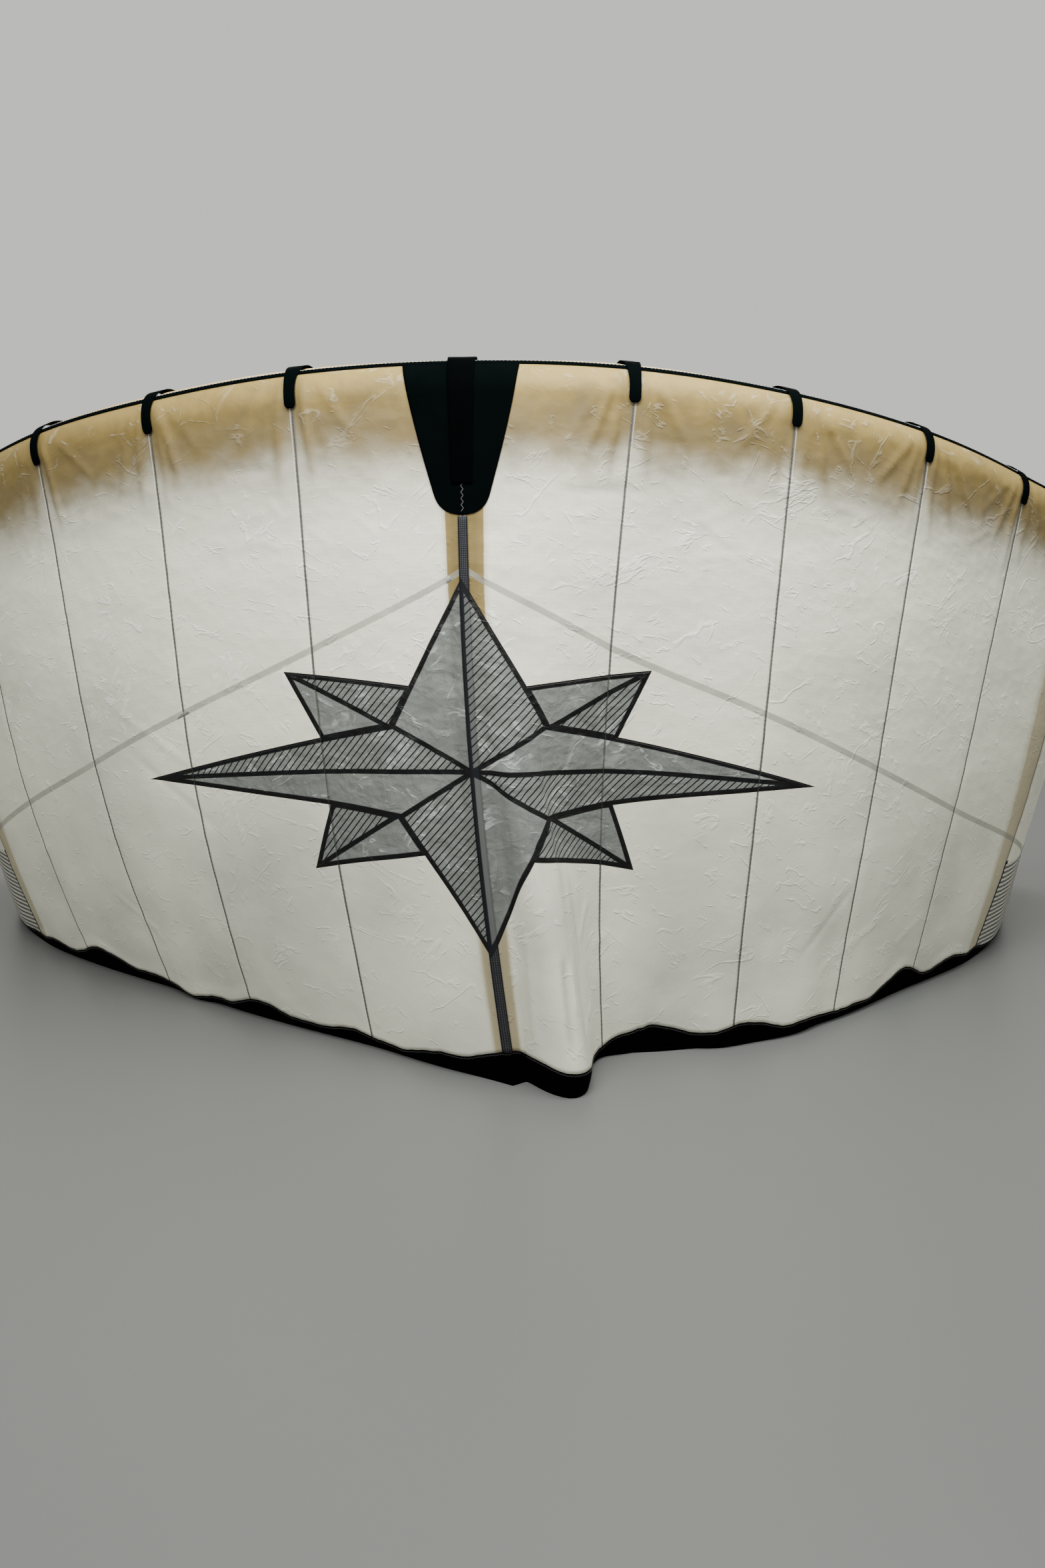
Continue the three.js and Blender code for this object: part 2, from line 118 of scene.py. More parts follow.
@dataclass(frozen=True)
class Ripple:
    """Unevenness along the hem: its height, its waves to a panel, and its place and seed in the noise."""

    height: float
    pace: float
    start: float
    row: float
    seed: int


@dataclass(frozen=True)
class StrutSize:
    """A strut's seam, its radius at the leading edge and at its foot, and how far its foot is set back."""

    name: str
    at: int
    top: float
    foot: float
    set_back: float


@dataclass(frozen=True)
class Layer:
    """Heights of a sheet's two faces over the skin."""

    inner: float
    outer: float


@dataclass(frozen=True)
class Crease:
    """A crease in the cloth between two places across and down the skin, with its half width and height."""

    across: float
    down: float
    across_end: float
    down_end: float
    width: float
    height: float


@dataclass(frozen=True)
class Drape:
    """A soft fold that runs down beside each panel seam from the leading edge, leaning away from it."""

    gap: float
    gap_end: float
    top: float
    end: float
    width: float
    height: float


@dataclass(frozen=True)
class ShadeSpot:
    """A soft dark place, a painted shadow, where something behind the cloth shows through, with its half
    sizes and strength.
    """

    across: float
    down: float
    half_across: float
    half_down: float
    strength: float


SEAMS = (
    Seam(-2.280, 1.315, -2.470, 1.030, 0.880, 0.054, 0.015, 0.0),
    Seam(-2.260, 0.905, -2.450, 0.710, 1.200, 0.065, 0.025, 0.0),
    Seam(-2.170, 0.490, -2.350, 0.330, 1.470, 0.075, 0.040, 0.0),
    Seam(-1.920, 0.120, -2.150, -0.050, 1.670, 0.084, 0.062, 0.0),
    Seam(-1.587, -0.165, -1.850, -0.390, 1.820, 0.091, 0.088, 0.0),
    Seam(-1.207, -0.424, -1.470, -0.670, 1.930, 0.097, 0.092, 0.0),
    Seam(-0.851, -0.678, -1.050, -0.870, 2.000, 0.101, 0.088, 0.0),
    Seam(-0.411, -0.941, -0.600, -1.010, 2.050, 0.104, 0.058, -0.012),
    Seam(0.022, -1.216, -0.120, -1.070, 2.070, 0.105, 0.020, -0.038),
    Seam(0.290, -1.012, 0.360, -1.040, 2.060, 0.104, 0.000, -0.038),
    Seam(0.712, -0.935, 0.840, -0.910, 2.010, 0.101, 0.014, 0.0),
    Seam(1.087, -0.720, 1.300, -0.710, 1.930, 0.097, 0.020, 0.0),
    Seam(1.439, -0.424, 1.720, -0.450, 1.820, 0.091, 0.030, 0.0),
    Seam(1.820, -0.090, 2.120, -0.180, 1.670, 0.084, 0.024, 0.0),
    Seam(2.070, 0.280, 2.310, 0.210, 1.480, 0.075, 0.014, 0.0),
    Seam(2.210, 0.670, 2.430, 0.600, 1.210, 0.065, 0.014, 0.0),
    Seam(2.270, 1.070, 2.470, 0.950, 0.880, 0.054, 0.010, 0.0),
)

FOLDS = (
    Fold(0.47, 0.35, 0.62, 0.165, -0.066, 0.55, 1.0, 9.0, 0.1),
    Fold(0.43, 0.18, 0.34, 0.042, -0.018, 0.30, 0.62, 0.95, 0.36),
    Fold(-0.55, 0.40, 0.40, 0.016, 0.0, 0.25, 0.60, 1.1, -0.2),
    Fold(1.55, 0.40, 0.45, -0.028, 0.0, 0.60, 1.0, 9.0, 0.0),
    Fold(2.6, 0.45, 0.30, 0.014, 0.0, 0.60, 0.90, 9.0, 0.0),
    Fold(-2.7, 0.40, 0.30, 0.016, 0.0, 0.60, 0.92, 9.0, 0.0),
)

RISES = (
    Rise(-4.6, 0.35, 0.022),
    Rise(-3.8, 0.45, 0.052),
    Rise(-3.7, 1.3, 0.017),
    Rise(-2.7, 0.35, -0.020),
    Rise(-1.9, 0.35, 0.042),
    Rise(-1.15, 0.2, 0.019),
    Rise(-0.8, 0.2, -0.006),
    Rise(-0.45, 0.35, 0.019),
    Rise(0.05, 0.5, 0.062),
    Rise(0.5, 0.4, 0.036),
    Rise(1.4, 0.55, 0.048),
    Rise(2.1, 0.45, 0.045),
    Rise(2.7, 0.4, 0.008),
    Rise(3.85, 0.45, 0.067),
    Rise(4.5, 0.4, 0.037),
    Rise(4.95, 0.35, 0.015),
)

RIPPLES = (
    Ripple(0.007, 7.0, 60.0, 0.0, 71),
    Ripple(0.004, 23.0, 0.0, 9.0, 72),
)

STRUTS = (
    StrutSize("left", -5, 0.044, 0.034, 0.0),
    StrutSize("centre", 0, 0.050, 0.041, 0.016),
    StrutSize("right", 5, 0.044, 0.034, 0.0),
)

CLOTH = Layer(0.0020, 0.0034)
TAPE = Layer(0.0050, 0.0062)
COVER = Layer(0.0080, 0.0094)
WEB = Layer(-0.0002, 0.0008)
BAND = Layer(0.0018, 0.0040)

CLOTH_START = math.radians(37)
TAPE_START = math.radians(33)
TAPE_END = math.radians(42.5)
TAPE_STITCH = math.radians(32.5)


def bump(x: Array, left: float, right: float) -> Array:
    """A soft hump of height one at zero, with its own half width on each side."""
    reach = np.clip(np.where(x < 0, -x / left, x / right), 0, 1)
    return 0.5 + 0.5 * np.cos(np.pi * reach)


def bell(x: Array, width: float, power: int = 2) -> Array:
    """A soft hump of height one at zero that falls away without an end."""
    return np.exp(-((x / width) ** power))


def ease(start: float, end: float, x: Array) -> Array:
    """Zero up to start, one from end on, smooth between."""
    part = np.clip((x - start) / (end - start), 0, 1)
    return part * part * (3 - 2 * part)


def unit(vectors: Array) -> Array:
    """Vectors at length one."""
    return vectors / np.linalg.norm(vectors, axis=-1, keepdims=True)


def dot(a: Array, b: Array) -> Array:
    """Dot products, kept as a last axis."""
    return np.sum(a * b, axis=-1, keepdims=True)


def grain(x: Array, y: Array, seed: int) -> Array:
    """Smooth seeded unevenness from 0 to 1 with cells of size one.

    Args:
        x: Places one way, in cells.
        y: Places the other way, in cells.
        seed: Fixes the pattern.

    Returns:
        The height.
    """
    count = 128
    cells = np.random.default_rng(seed).random((count, count))
    x, y = np.broadcast_arrays(x, y)
    column, row = np.floor(x).astype(int), np.floor(y).astype(int)
    fx, fy = x - column, y - row
    fx, fy = fx * fx * (3 - 2 * fx), fy * fy * (3 - 2 * fy)
    corner = [[cells[(row + j) % count, (column + i) % count] for i in (0, 1)] for j in (0, 1)]
    top = corner[0][0] * (1 - fx) + corner[0][1] * fx
    foot = corner[1][0] * (1 - fx) + corner[1][1] * fx
    return top * (1 - fy) + foot * fy


def ridges(x: Array, y: Array, seed: int) -> Array:
    """Crossing crinkle ridges, sharpest along their crests.

    Args:
        x: Places one way, in cells.
        y: Places the other way, in cells.
        seed: Fixes the pattern.

    Returns:
        The height, from 0 to 1.
    """
    warp = grain(x * 0.7 + 11, y * 0.7 + 5, seed + 1) - 0.5
    coarse = 1 - np.abs(2 * grain(x + 1.6 * warp, y - 1.3 * warp, seed) - 1)
    fine = 1 - np.abs(2 * grain(2.1 * x - 2 * warp, 1.9 * y + 2 * warp, seed + 2) - 1)
    return 0.68 * coarse**3 + 0.32 * fine**2


@dataclass(frozen=True)
class TubeFrame:
    """The leading-edge tube at places s, and where the cloth leaves it for the trailing edge."""

    centre: Array
    along: Array
    down: Array
    out: Array
    radius: Array
    foot: Array
    leave: Array
    leave_point: Array
    drop: Array

    @property
    def leave_length(self) -> Array:
        """Distance round the tube from its crown to where the cloth leaves it."""
        return (self.leave * self.radius)[..., 0]

    def on_tube(self, angle: Array, radius: Array) -> Array:
        """Points at an angle from the crown and a distance from the tube's centre line."""
        return self.centre + self.out * radius * np.sin(angle) - self.down * radius * np.cos(angle)


@dataclass(frozen=True)
class Skin:
    """The inner face of the kite's skin, wrapped over the tube and dropped to the floor."""

    seam_angle: float = math.radians(39)
    corner_reach: float = 0.8
    rise: float = 0.042
    strut_clear: float = 0.4
    hem_tuck: float = 0.016
    hem_fade: float = 0.240
    belly_lean: float = 1.3
    band_width: float = 0.092
    least_turn: float = 0.003
    web_apex: float = 0.238
    web_foot: float = 0.768
    web_bend: float = 0.88
    web_end: int = 6
    foot_step: float = 0.4
    seam_step: float = 0.05
    down_step: float = 0.006
    across_step: float = 0.02
    floor_hair: float = 1e-5

    def column(self, name: str, s: Array) -> Array:
        """One column of the seams' table between its rows, on a smooth curve.

        Args:
            name: The column.
            s: Places across.

        Returns:
            Its values.
        """
        s = np.asarray(s, float)
        values = np.array([getattr(row, name) for row in SEAMS])
        last = len(values) - 2
        row = np.clip(np.floor(s).astype(int) + HALF_PANELS, 0, last)
        t = s + HALF_PANELS - row
        b, c = values[row], values[row + 1]
        a = np.where(row > 0, values[np.maximum(row - 1, 0)], 2 * b - c)
        d = np.where(row < last, values[np.minimum(row + 2, last + 1)], 2 * c - b)
        return b + 0.5 * t * (c - a + t * (2 * a - 5 * b + 4 * c - d + t * (3 * (b - c) + d - a)))

    def straight(self, name: str, s: Array) -> Array:
        """One column of the seams' table on straight runs between its rows."""
        values = np.array([getattr(row, name) for row in SEAMS])
        return np.interp(np.asarray(s, float) + HALF_PANELS, np.arange(len(values)), values)

    def foot(self, s: Array) -> Array:
        """Trailing edge on the floor, rounded but for the corner at the centre strut.

        Args:
            s: Places across.

        Returns:
            Its points.
        """
        corner = bell(np.asarray(s, float), self.corner_reach)
        names = ("te_x", "te_y")
        x, y = (self.column(name, s) * (1 - corner) + self.straight(name, s) * corner for name in names)
        return np.stack([x, y, 0 * x], -1)

    def seam(self, s: Array) -> Array:
        """Line where the cloth is sewn to the tube."""
        return np.stack([self.column(name, s) for name in ("le_x", "le_y", "le_z")], -1)

    def foot_directions(self, s: Array) -> tuple[Array, Array]:
        """Level directions at the foot.

        Args:
            s: Places across.

        Returns:
            The direction along the trailing edge, and the one out of it.
        """
        ahead, behind = s + self.foot_step, s - self.foot_step
        x = self.column("te_x", ahead) - self.column("te_x", behind)
        y = self.column("te_y", ahead) - self.column("te_y", behind)
        side = unit(np.stack([x, y, 0 * x], -1))
        return side, np.stack([side[..., 1], -side[..., 0], 0 * x], -1)

    def tube_frame(self, s: Array) -> TubeFrame:
        """Tube centre and directions.

        Args:
            s: Places across.

        Returns:
            The tube at those places.
        """
        s = np.asarray(s, float)
        seam, foot = self.seam(s), self.foot(s)
        along = unit(self.seam(s + self.seam_step) - self.seam(s - self.seam_step))
        down = foot - seam
        down = unit(down - along * dot(down, along))
        out = unit(np.cross(down, along))
        radius = self.column("tube", s)[..., None]
        centre = seam + radius * (down * math.cos(self.seam_angle) - out * math.sin(self.seam_angle))
        leave = np.pi / 2 + np.arcsin(radius / dot(foot - centre, down))
        point = centre + out * radius * np.sin(leave) - down * radius * np.cos(leave)
        drop = np.linalg.norm(foot - point, axis=-1, keepdims=True)
        return TubeFrame(centre, along, down, out, radius, foot, leave, point, drop)

    def near_strut(self, s: Array) -> Array:
        """One at a strut's seam, falling to nothing beside it."""
        s = np.asarray(s, float)
        return np.max([bump(s - row.at, self.strut_clear, self.strut_clear) for row in STRUTS], axis=0)

    def band_rise(self, s: Array) -> Array:
        """Height of the hem band's upper edge off the floor.

        Args:
            s: Places across.

        Returns:
            The height.
        """
        s = np.asarray(s, float)
        rise = sum(row.lift * bump(s - row.at, row.half, row.half) for row in RISES)
        ripple = sum(
            row.height * (grain(row.pace * s + row.start, 0 * s + row.row, row.seed) - 0.5)
            for row in RIPPLES
        )
        return self.rise + rise + ripple

    def band_turn(self, s: Array) -> Array:
        """Width of the hem band that lies turned in on the floor."""
        under = np.clip(self.band_width - self.band_rise(s), 0, None) * (1 - self.near_strut(s))
        return np.maximum(under, self.least_turn)

    def bowing(self, s: Array, w: Array, drop: Array) -> Array:
        """How far the cloth stands from its straight drop.

        Args:
            s: Places across.
            w: Part of the way down the drop.
            drop: Length of the drop.

        Returns:
            The move of each point.
        """
        side, out = self.foot_directions(s)
        above = (1 - w) * drop
        rise = self.band_rise(s)
        hem = np.sin(np.pi / 2 * np.minimum(above / rise, 1))
        tuck = np.where(above < rise, hem, bell(above - rise, self.hem_fade))
        outward = self.column("belly", s) * np.sin(np.pi * w**self.belly_lean)
        outward = outward + self.hem_tuck * (1 - self.near_strut(s)) * tuck
        sideways = self.column("sway", s) * np.sin(np.pi * w)
        for fold in FOLDS:
            crest = fold.at - fold.drift * (1 - w)
            grow = ease(fold.start, fold.full, w) * (1 - ease(fold.full, fold.end, w))
            height = bump(s - crest, fold.left, fold.right) * grow
            outward = outward + fold.out * height
            sideways = sideways + fold.side * height
        return out * outward[..., None] + side * sideways[..., None]

    def inner(self, s: Array, a: Array) -> Array:
        """The skin's inner face.

        Args:
            s: Places across.
            a: Places down.

        Returns:
            Its points.
        """
        s, a = np.broadcast_arrays(np.asarray(s, float), np.asarray(a, float))
        tube = self.tube_frame(s)
        round_tube = tube.on_tube(a[..., None] / tube.radius, tube.radius)
        drop = tube.drop[..., 0]
        w = np.clip((a - tube.leave_length) / drop, 0, 1)
        hung = tube.leave_point + (tube.foot - tube.leave_point) * w[..., None] + self.bowing(s, w, drop)
        return np.where((a <= tube.leave_length)[..., None], round_tube, hung)

    def normal(self, s: Array, a: Array) -> Array:
        """Outward directions of the skin.

        Args:
            s: Places across.
            a: Places down.

        Returns:
            The directions.
        """
        down = self.inner(s, a + self.down_step) - self.inner(s, a - self.down_step)
        side = self.inner(s + self.across_step, a) - self.inner(s - self.across_step, a)
        return unit(np.cross(down, side))

    def point(self, s: Array, a: Array, lift: Array | float) -> Array:
        """Points at a height over the skin, level at the floor.

        Args:
            s: Places across.
            a: Places down.
            lift: Height over the skin.

        Returns:
            The points.
        """
        s, a = np.broadcast_arrays(np.asarray(s, float), np.asarray(a, float))
        base, normal = self.inner(s, a), self.normal(s, a)
        level = unit(normal * np.array([1, 1, 0]))
        normal = np.where(base[..., 2:] < self.floor_hair, level, normal)
        raised = base + normal * np.broadcast_to(lift, s.shape)[..., None]
        return np.concatenate([raised[..., :2], np.maximum(raised[..., 2:], 0)], -1)

    def length(self, s: Array) -> Array:
        """Distance down the skin from the crown to the floor."""
        tube = self.tube_frame(s)
        return tube.leave_length + tube.drop[..., 0]

    def band_top(self, s: Array) -> Array:
        """Distance down the skin to the hem band's upper edge."""
        return self.length(s) - self.band_rise(s)

    def tape_foot(self, at: float) -> float:
        """Distance down the skin to the lower edge of the leading-edge tape at one seam."""
        return TAPE_END * float(self.column("tube", np.array(float(at))))

    def web_part(self, s: Array) -> Array:
        """How far down the drop the load tape runs behind the cloth."""
        share = (np.abs(s) / self.web_end) ** self.web_bend
        return self.web_apex + (self.web_foot - self.web_apex) * share

    def width(self, s: Array, a: Array) -> Array:
        """Metres along the skin for one panel at a place."""
        run = self.inner(s + self.seam_step, a) - self.inner(s - self.seam_step, a)
        return np.linalg.norm(run, axis=-1) / (2 * self.seam_step)


SKIN = Skin()


def seam_name(at: int) -> str:
    """Name of a seam from its number."""
    return "centre" if at == 0 else f"{'left' if at < 0 else 'right'}_{abs(at)}"


def panel_name(index: int) -> str:
    """Name of a panel from the number of the seam on its left."""
    return f"left_{-index}" if index < 0 else f"right_{index + 1}"


def new_piece(name: str, points: Array, faces: list, marks: dict[str, Array]) -> Piece:
    """Makes a smooth-shaded object from points and faces.

    Args:
        name: The object's name.
        points: Its vertices.
        faces: Its faces as vertex numbers, turned outwards.
        marks: A vector or pair for each vertex, by attribute name; "cloth" is also its UV map.

    Returns:
        The new object, at the origin.
    """
    mesh = bpy.data.meshes.new(name)
    mesh.from_pydata(points.reshape(-1, 3).tolist(), [], faces)
    mesh.shade_smooth()
    uv = mesh.uv_layers.new(name="Cloth")
    loops = np.zeros(len(mesh.loops), int)
    mesh.loops.foreach_get("vertex_index", loops)
    uv.data.foreach_set("uv", marks["cloth"][loops].astype(np.float32).ravel())
    for title, values in marks.items():
        vectors = np.zeros((len(values), 3), np.float32)
        vectors[:, : values.shape[1]] = values
        layer = mesh.attributes.new(title, "FLOAT_VECTOR", "POINT")
        layer.data.foreach_set("vector", vectors.ravel())
    piece = bpy.data.objects.new(name, mesh)
    bpy.context.scene.collection.objects.link(piece)
    return piece


def shell(name: str, outer: Array, inner: Array, marks: dict[str, Array]) -> Piece:
    """Closed thin sheet between two grids of points whose rows run down the cloth.

    Args:
        name: The object's name.
        outer: Points of the outer face.
        inner: Points of the inner face.
        marks: Vectors for each place of the grid, by attribute name.

    Returns:
        The sheet.
    """
    rows, across = outer.shape[:2]
    count = rows * across
    at = np.arange(count).reshape(rows, across)
    a, b, c, d = at[:-1, :-1], at[1:, :-1], at[1:, 1:], at[:-1, 1:]
    quads = [np.stack([a, b, c, d], -1).reshape(-1, 4), count + np.stack([a, d, c, b], -1).reshape(-1, 4)]
    for edge in (at[0], at[-1, ::-1], at[::-1, 0], at[:, -1]):
        ahead, behind = edge[1:], edge[:-1]
        quads.append(np.stack([behind, ahead, count + ahead, count + behind], -1))
    points = np.concatenate([outer.reshape(-1, 3), inner.reshape(-1, 3)])
    doubled = {title: np.concatenate([grid.reshape(count, -1)] * 2) for title, grid in marks.items()}
    return new_piece(name, points, np.concatenate(quads).tolist(), doubled)


def tube(name: str, rings: Array, ends: Array, cloth: Array) -> Piece:
    """Closed tube through rings of points, with a middle point at each end.

    Args:
        name: The object's name.
        rings: Rings of points, one row for each ring.
        ends: The two middle points.
        cloth: Metres round and along the tube for each point of the rings.

    Returns:
        The tube.
    """
    count, sides = rings.shape[:2]
    at = np.arange(count * sides).reshape(count, sides)
    ahead = np.roll(at, -1, axis=1)
    faces = np.stack([at[:-1], ahead[:-1], ahead[1:], at[1:]], -1).reshape(-1, 4).tolist()
    first = count * sides
    faces += [[first, int(b), int(a)] for a, b in zip(at[0], ahead[0])]
    faces += [[first + 1, int(a), int(b)] for a, b in zip(at[-1], ahead[-1])]
    points = np.concatenate([rings.reshape(-1, 3), ends])
    spots = np.concatenate([cloth.reshape(-1, 2), cloth[[0, -1], 0]])
    return new_piece(name, points, faces, {"cloth": spots})


def dress(piece: Piece, finish: "Finish", slot: Slot, nodes: Sequence[str]) -> Piece:
    """Gives a piece its finish, its body and the nodes that it stands for, and reports it.

    Args:
        piece: The piece.
        finish: Its finish.
        slot: Its slot in the record.
        nodes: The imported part's nodes that it replaces.

    Returns:
        The piece.
    """
    piece.data.materials.clear()
    piece.data.materials.append(finish.material())
    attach(piece, "root")
    if nodes:
        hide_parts(*nodes)
    LOG.info("%s: %d faces, %s", piece.name, len(piece.data.polygons), slot.value)
    return piece


class Board:
    """A node tree, with one method that adds any node."""

    def __init__(self, tree: bpy.types.NodeTree) -> None:
        """Keeps the tree."""
        self.tree = tree

    def node(self, kind: str, settings: dict | None = None, inputs: dict | None = None) -> bpy.types.Node:
        """Adds a node.

        Args:
            kind: The node's type.
            settings: Its properties, set before its sockets.
            inputs: Values or links of its sockets, by name or number.

        Returns:
            The node.
        """
        node = self.tree.nodes.new(kind)
        for name, value in (settings or {}).items():
            setattr(node, name, value)
        for key, value in (inputs or {}).items():
            self.join(value, node.inputs[key])
        return node

    def join(self, value: Any, socket: bpy.types.NodeSocket) -> None:
        """Links a wire or a socket to an input, or sets the input to a plain value.

        Args:
            value: The wire, socket or value.
            socket: The input.
        """
        if isinstance(value, Wire):
            self.tree.links.new(value.socket, socket)
        elif isinstance(value, bpy.types.NodeSocket):
            self.tree.links.new(value, socket)
        else:
            socket.default_value = value


class Wire:
    """A number that runs between nodes, with arithmetic that adds Math nodes."""

    def __init__(self, board: Board, socket: bpy.types.NodeSocket) -> None:
        """Keeps the board and the output socket."""
        self.board = board
        self.socket = socket

    def math(self, operation: str, *values: Any) -> "Wire":
        """One Math node on values."""
        node = self.board.node("ShaderNodeMath", {"operation": operation}, dict(enumerate(values)))
        return Wire(self.board, node.outputs[0])

    def __add__(self, other: Any) -> "Wire":
        """Sum."""
        return self.math("ADD", self, other)

    def __radd__(self, other: Any) -> "Wire":
        """Sum with a plain number first."""
        return self.math("ADD", other, self)

    def __sub__(self, other: Any) -> "Wire":
        """Difference."""
        return self.math("SUBTRACT", self, other)

    def __rsub__(self, other: Any) -> "Wire":
        """Difference from a plain number."""
        return self.math("SUBTRACT", other, self)

    def __mul__(self, other: Any) -> "Wire":
        """Product."""
        return self.math("MULTIPLY", self, other)

    def __rmul__(self, other: Any) -> "Wire":
        """Product with a plain number first."""
        return self.math("MULTIPLY", other, self)

    def __truediv__(self, other: Any) -> "Wire":
        """Quotient."""
        return self.math("DIVIDE", self, other)

    def __abs__(self) -> "Wire":
        """Size without sign."""
        return self.math("ABSOLUTE", self)

    def sine(self) -> "Wire":
        """Sine."""
        return self.math("SINE", self)

    def part(self) -> "Wire":
        """Part over the last whole number."""
        return self.math("FRACT", self)

    def least(self, other: Any) -> "Wire":
        """The smaller of two."""
        return self.math("MINIMUM", self, other)

    def most(self, other: Any) -> "Wire":
        """The larger of two."""
        return self.math("MAXIMUM", self, other)

    def share(self) -> "Wire":
        """Kept between 0 and 1."""
        return self.most(0.0).least(1.0)

    def over(self, limit: Any) -> "Wire":
        """One where this is more than the limit."""
        return self.math("GREATER_THAN", self, limit)

    def ease(self, start: float, end: float) -> "Wire":
        """Zero at start, one at end, smooth between.

        Args:
            start: Where it begins to rise.
            end: Where it is one.

        Returns:
            The smooth step.
        """
        inputs = {"Value": self, "From Min": start, "From Max": end}
        node = self.board.node("ShaderNodeMapRange", {"interpolation_type": "SMOOTHSTEP"}, inputs)
        return Wire(self.board, node.outputs["Result"])


@dataclass(frozen=True)
class Noise:
    """Scale, detail and twist of a cloudy noise."""

    scale: float
    detail: float = 3.0
    twist: float = 0.0


class Paint(Board):
    """The node tree of one material."""

    def __init__(self, name: str, gloss: float = 0.5) -> None:
        """Makes the material, with its gloss set on the shader itself.

        Args:
            name: The material's name.
            gloss: The shader's specular level.
        """
        self.made = bpy.data.materials.new(name)
        self.made.use_nodes = True
        super().__init__(self.made.node_tree)
        self.shader = next(n for n in self.tree.nodes if n.type == "BSDF_PRINCIPLED")
        self.shader.inputs["Specular IOR Level"].default_value = gloss

    def point(self, title: str) -> tuple[Wire, Wire, Wire]:
        """The three numbers of one of the mesh's vectors.

        Args:
            title: The attribute that holds them.

        Returns:
            One wire for each number.
        """
        source = self.node("ShaderNodeAttribute", {"attribute_name": title})
        parts = self.node("ShaderNodeSeparateXYZ", inputs={0: source.outputs["Vector"]})
        return tuple(Wire(self, socket) for socket in parts.outputs)

    def vector(self, x: Any, y: Any, z: Any = 0.0) -> Wire:
        """A vector from three numbers."""
        return Wire(self, self.node("ShaderNodeCombineXYZ", inputs={0: x, 1: y, 2: z}).outputs[0])

    def noise(self, vector: Wire, kind: Noise) -> Wire:
        """Cloudy noise from 0 to 1."""
        inputs = {"Vector": vector, "Scale": kind.scale, "Detail": kind.detail, "Distortion": kind.twist}
        return Wire(self, self.node("ShaderNodeTexNoise", inputs=inputs).outputs[0])

    def cells(self, vector: Wire, scale: float) -> Wire:
        """Distance from the middle of irregular cells."""
        node = self.node("ShaderNodeTexVoronoi", {"feature": "F1"}, {"Vector": vector, "Scale": scale})
        return Wire(self, node.outputs["Distance"])

    def mix(self, first: Any, second: Any, part: Any) -> Wire:
        """A colour between two."""
        node = self.node("ShaderNodeMix", {"data_type": "RGBA"}, {0: part, 6: first, 7: second})
        return Wire(self, node.outputs[2])

    def waves(self, place: Wire, pitch: float) -> Wire:
        """Even waves from 0 to 1."""
        return (place * (2 * math.pi / pitch)).sine() * 0.5 + 0.5

    def finish(self, colour: Any, roughness: Any, height: Any, depth: float) -> bpy.types.Material:
        """Joins the surface to the shader.

        Args:
            colour: The base colour.
            roughness: The roughness.
            height: Relief from 0 to 1.
            depth: Metres of relief for a height of one.

        Returns:
            The material.
        """
        relief = self.node("ShaderNodeBump", inputs={"Strength": 1.0, "Distance": depth, "Height": height})
        self.join(colour, self.shader.inputs["Base Color"])
        self.join(roughness, self.shader.inputs["Roughness"])
        self.join(relief.outputs["Normal"], self.shader.inputs["Normal"])
        return self.made


@dataclass(frozen=True)
class Finish:
    """A named finish whose material is made once."""

    name: str

    def material(self) -> bpy.types.Material:
        """The finish's material."""
        return bpy.data.materials.get(self.name) or self.make()

    def make(self) -> bpy.types.Material:
        """Makes the material."""
        raise NotImplementedError


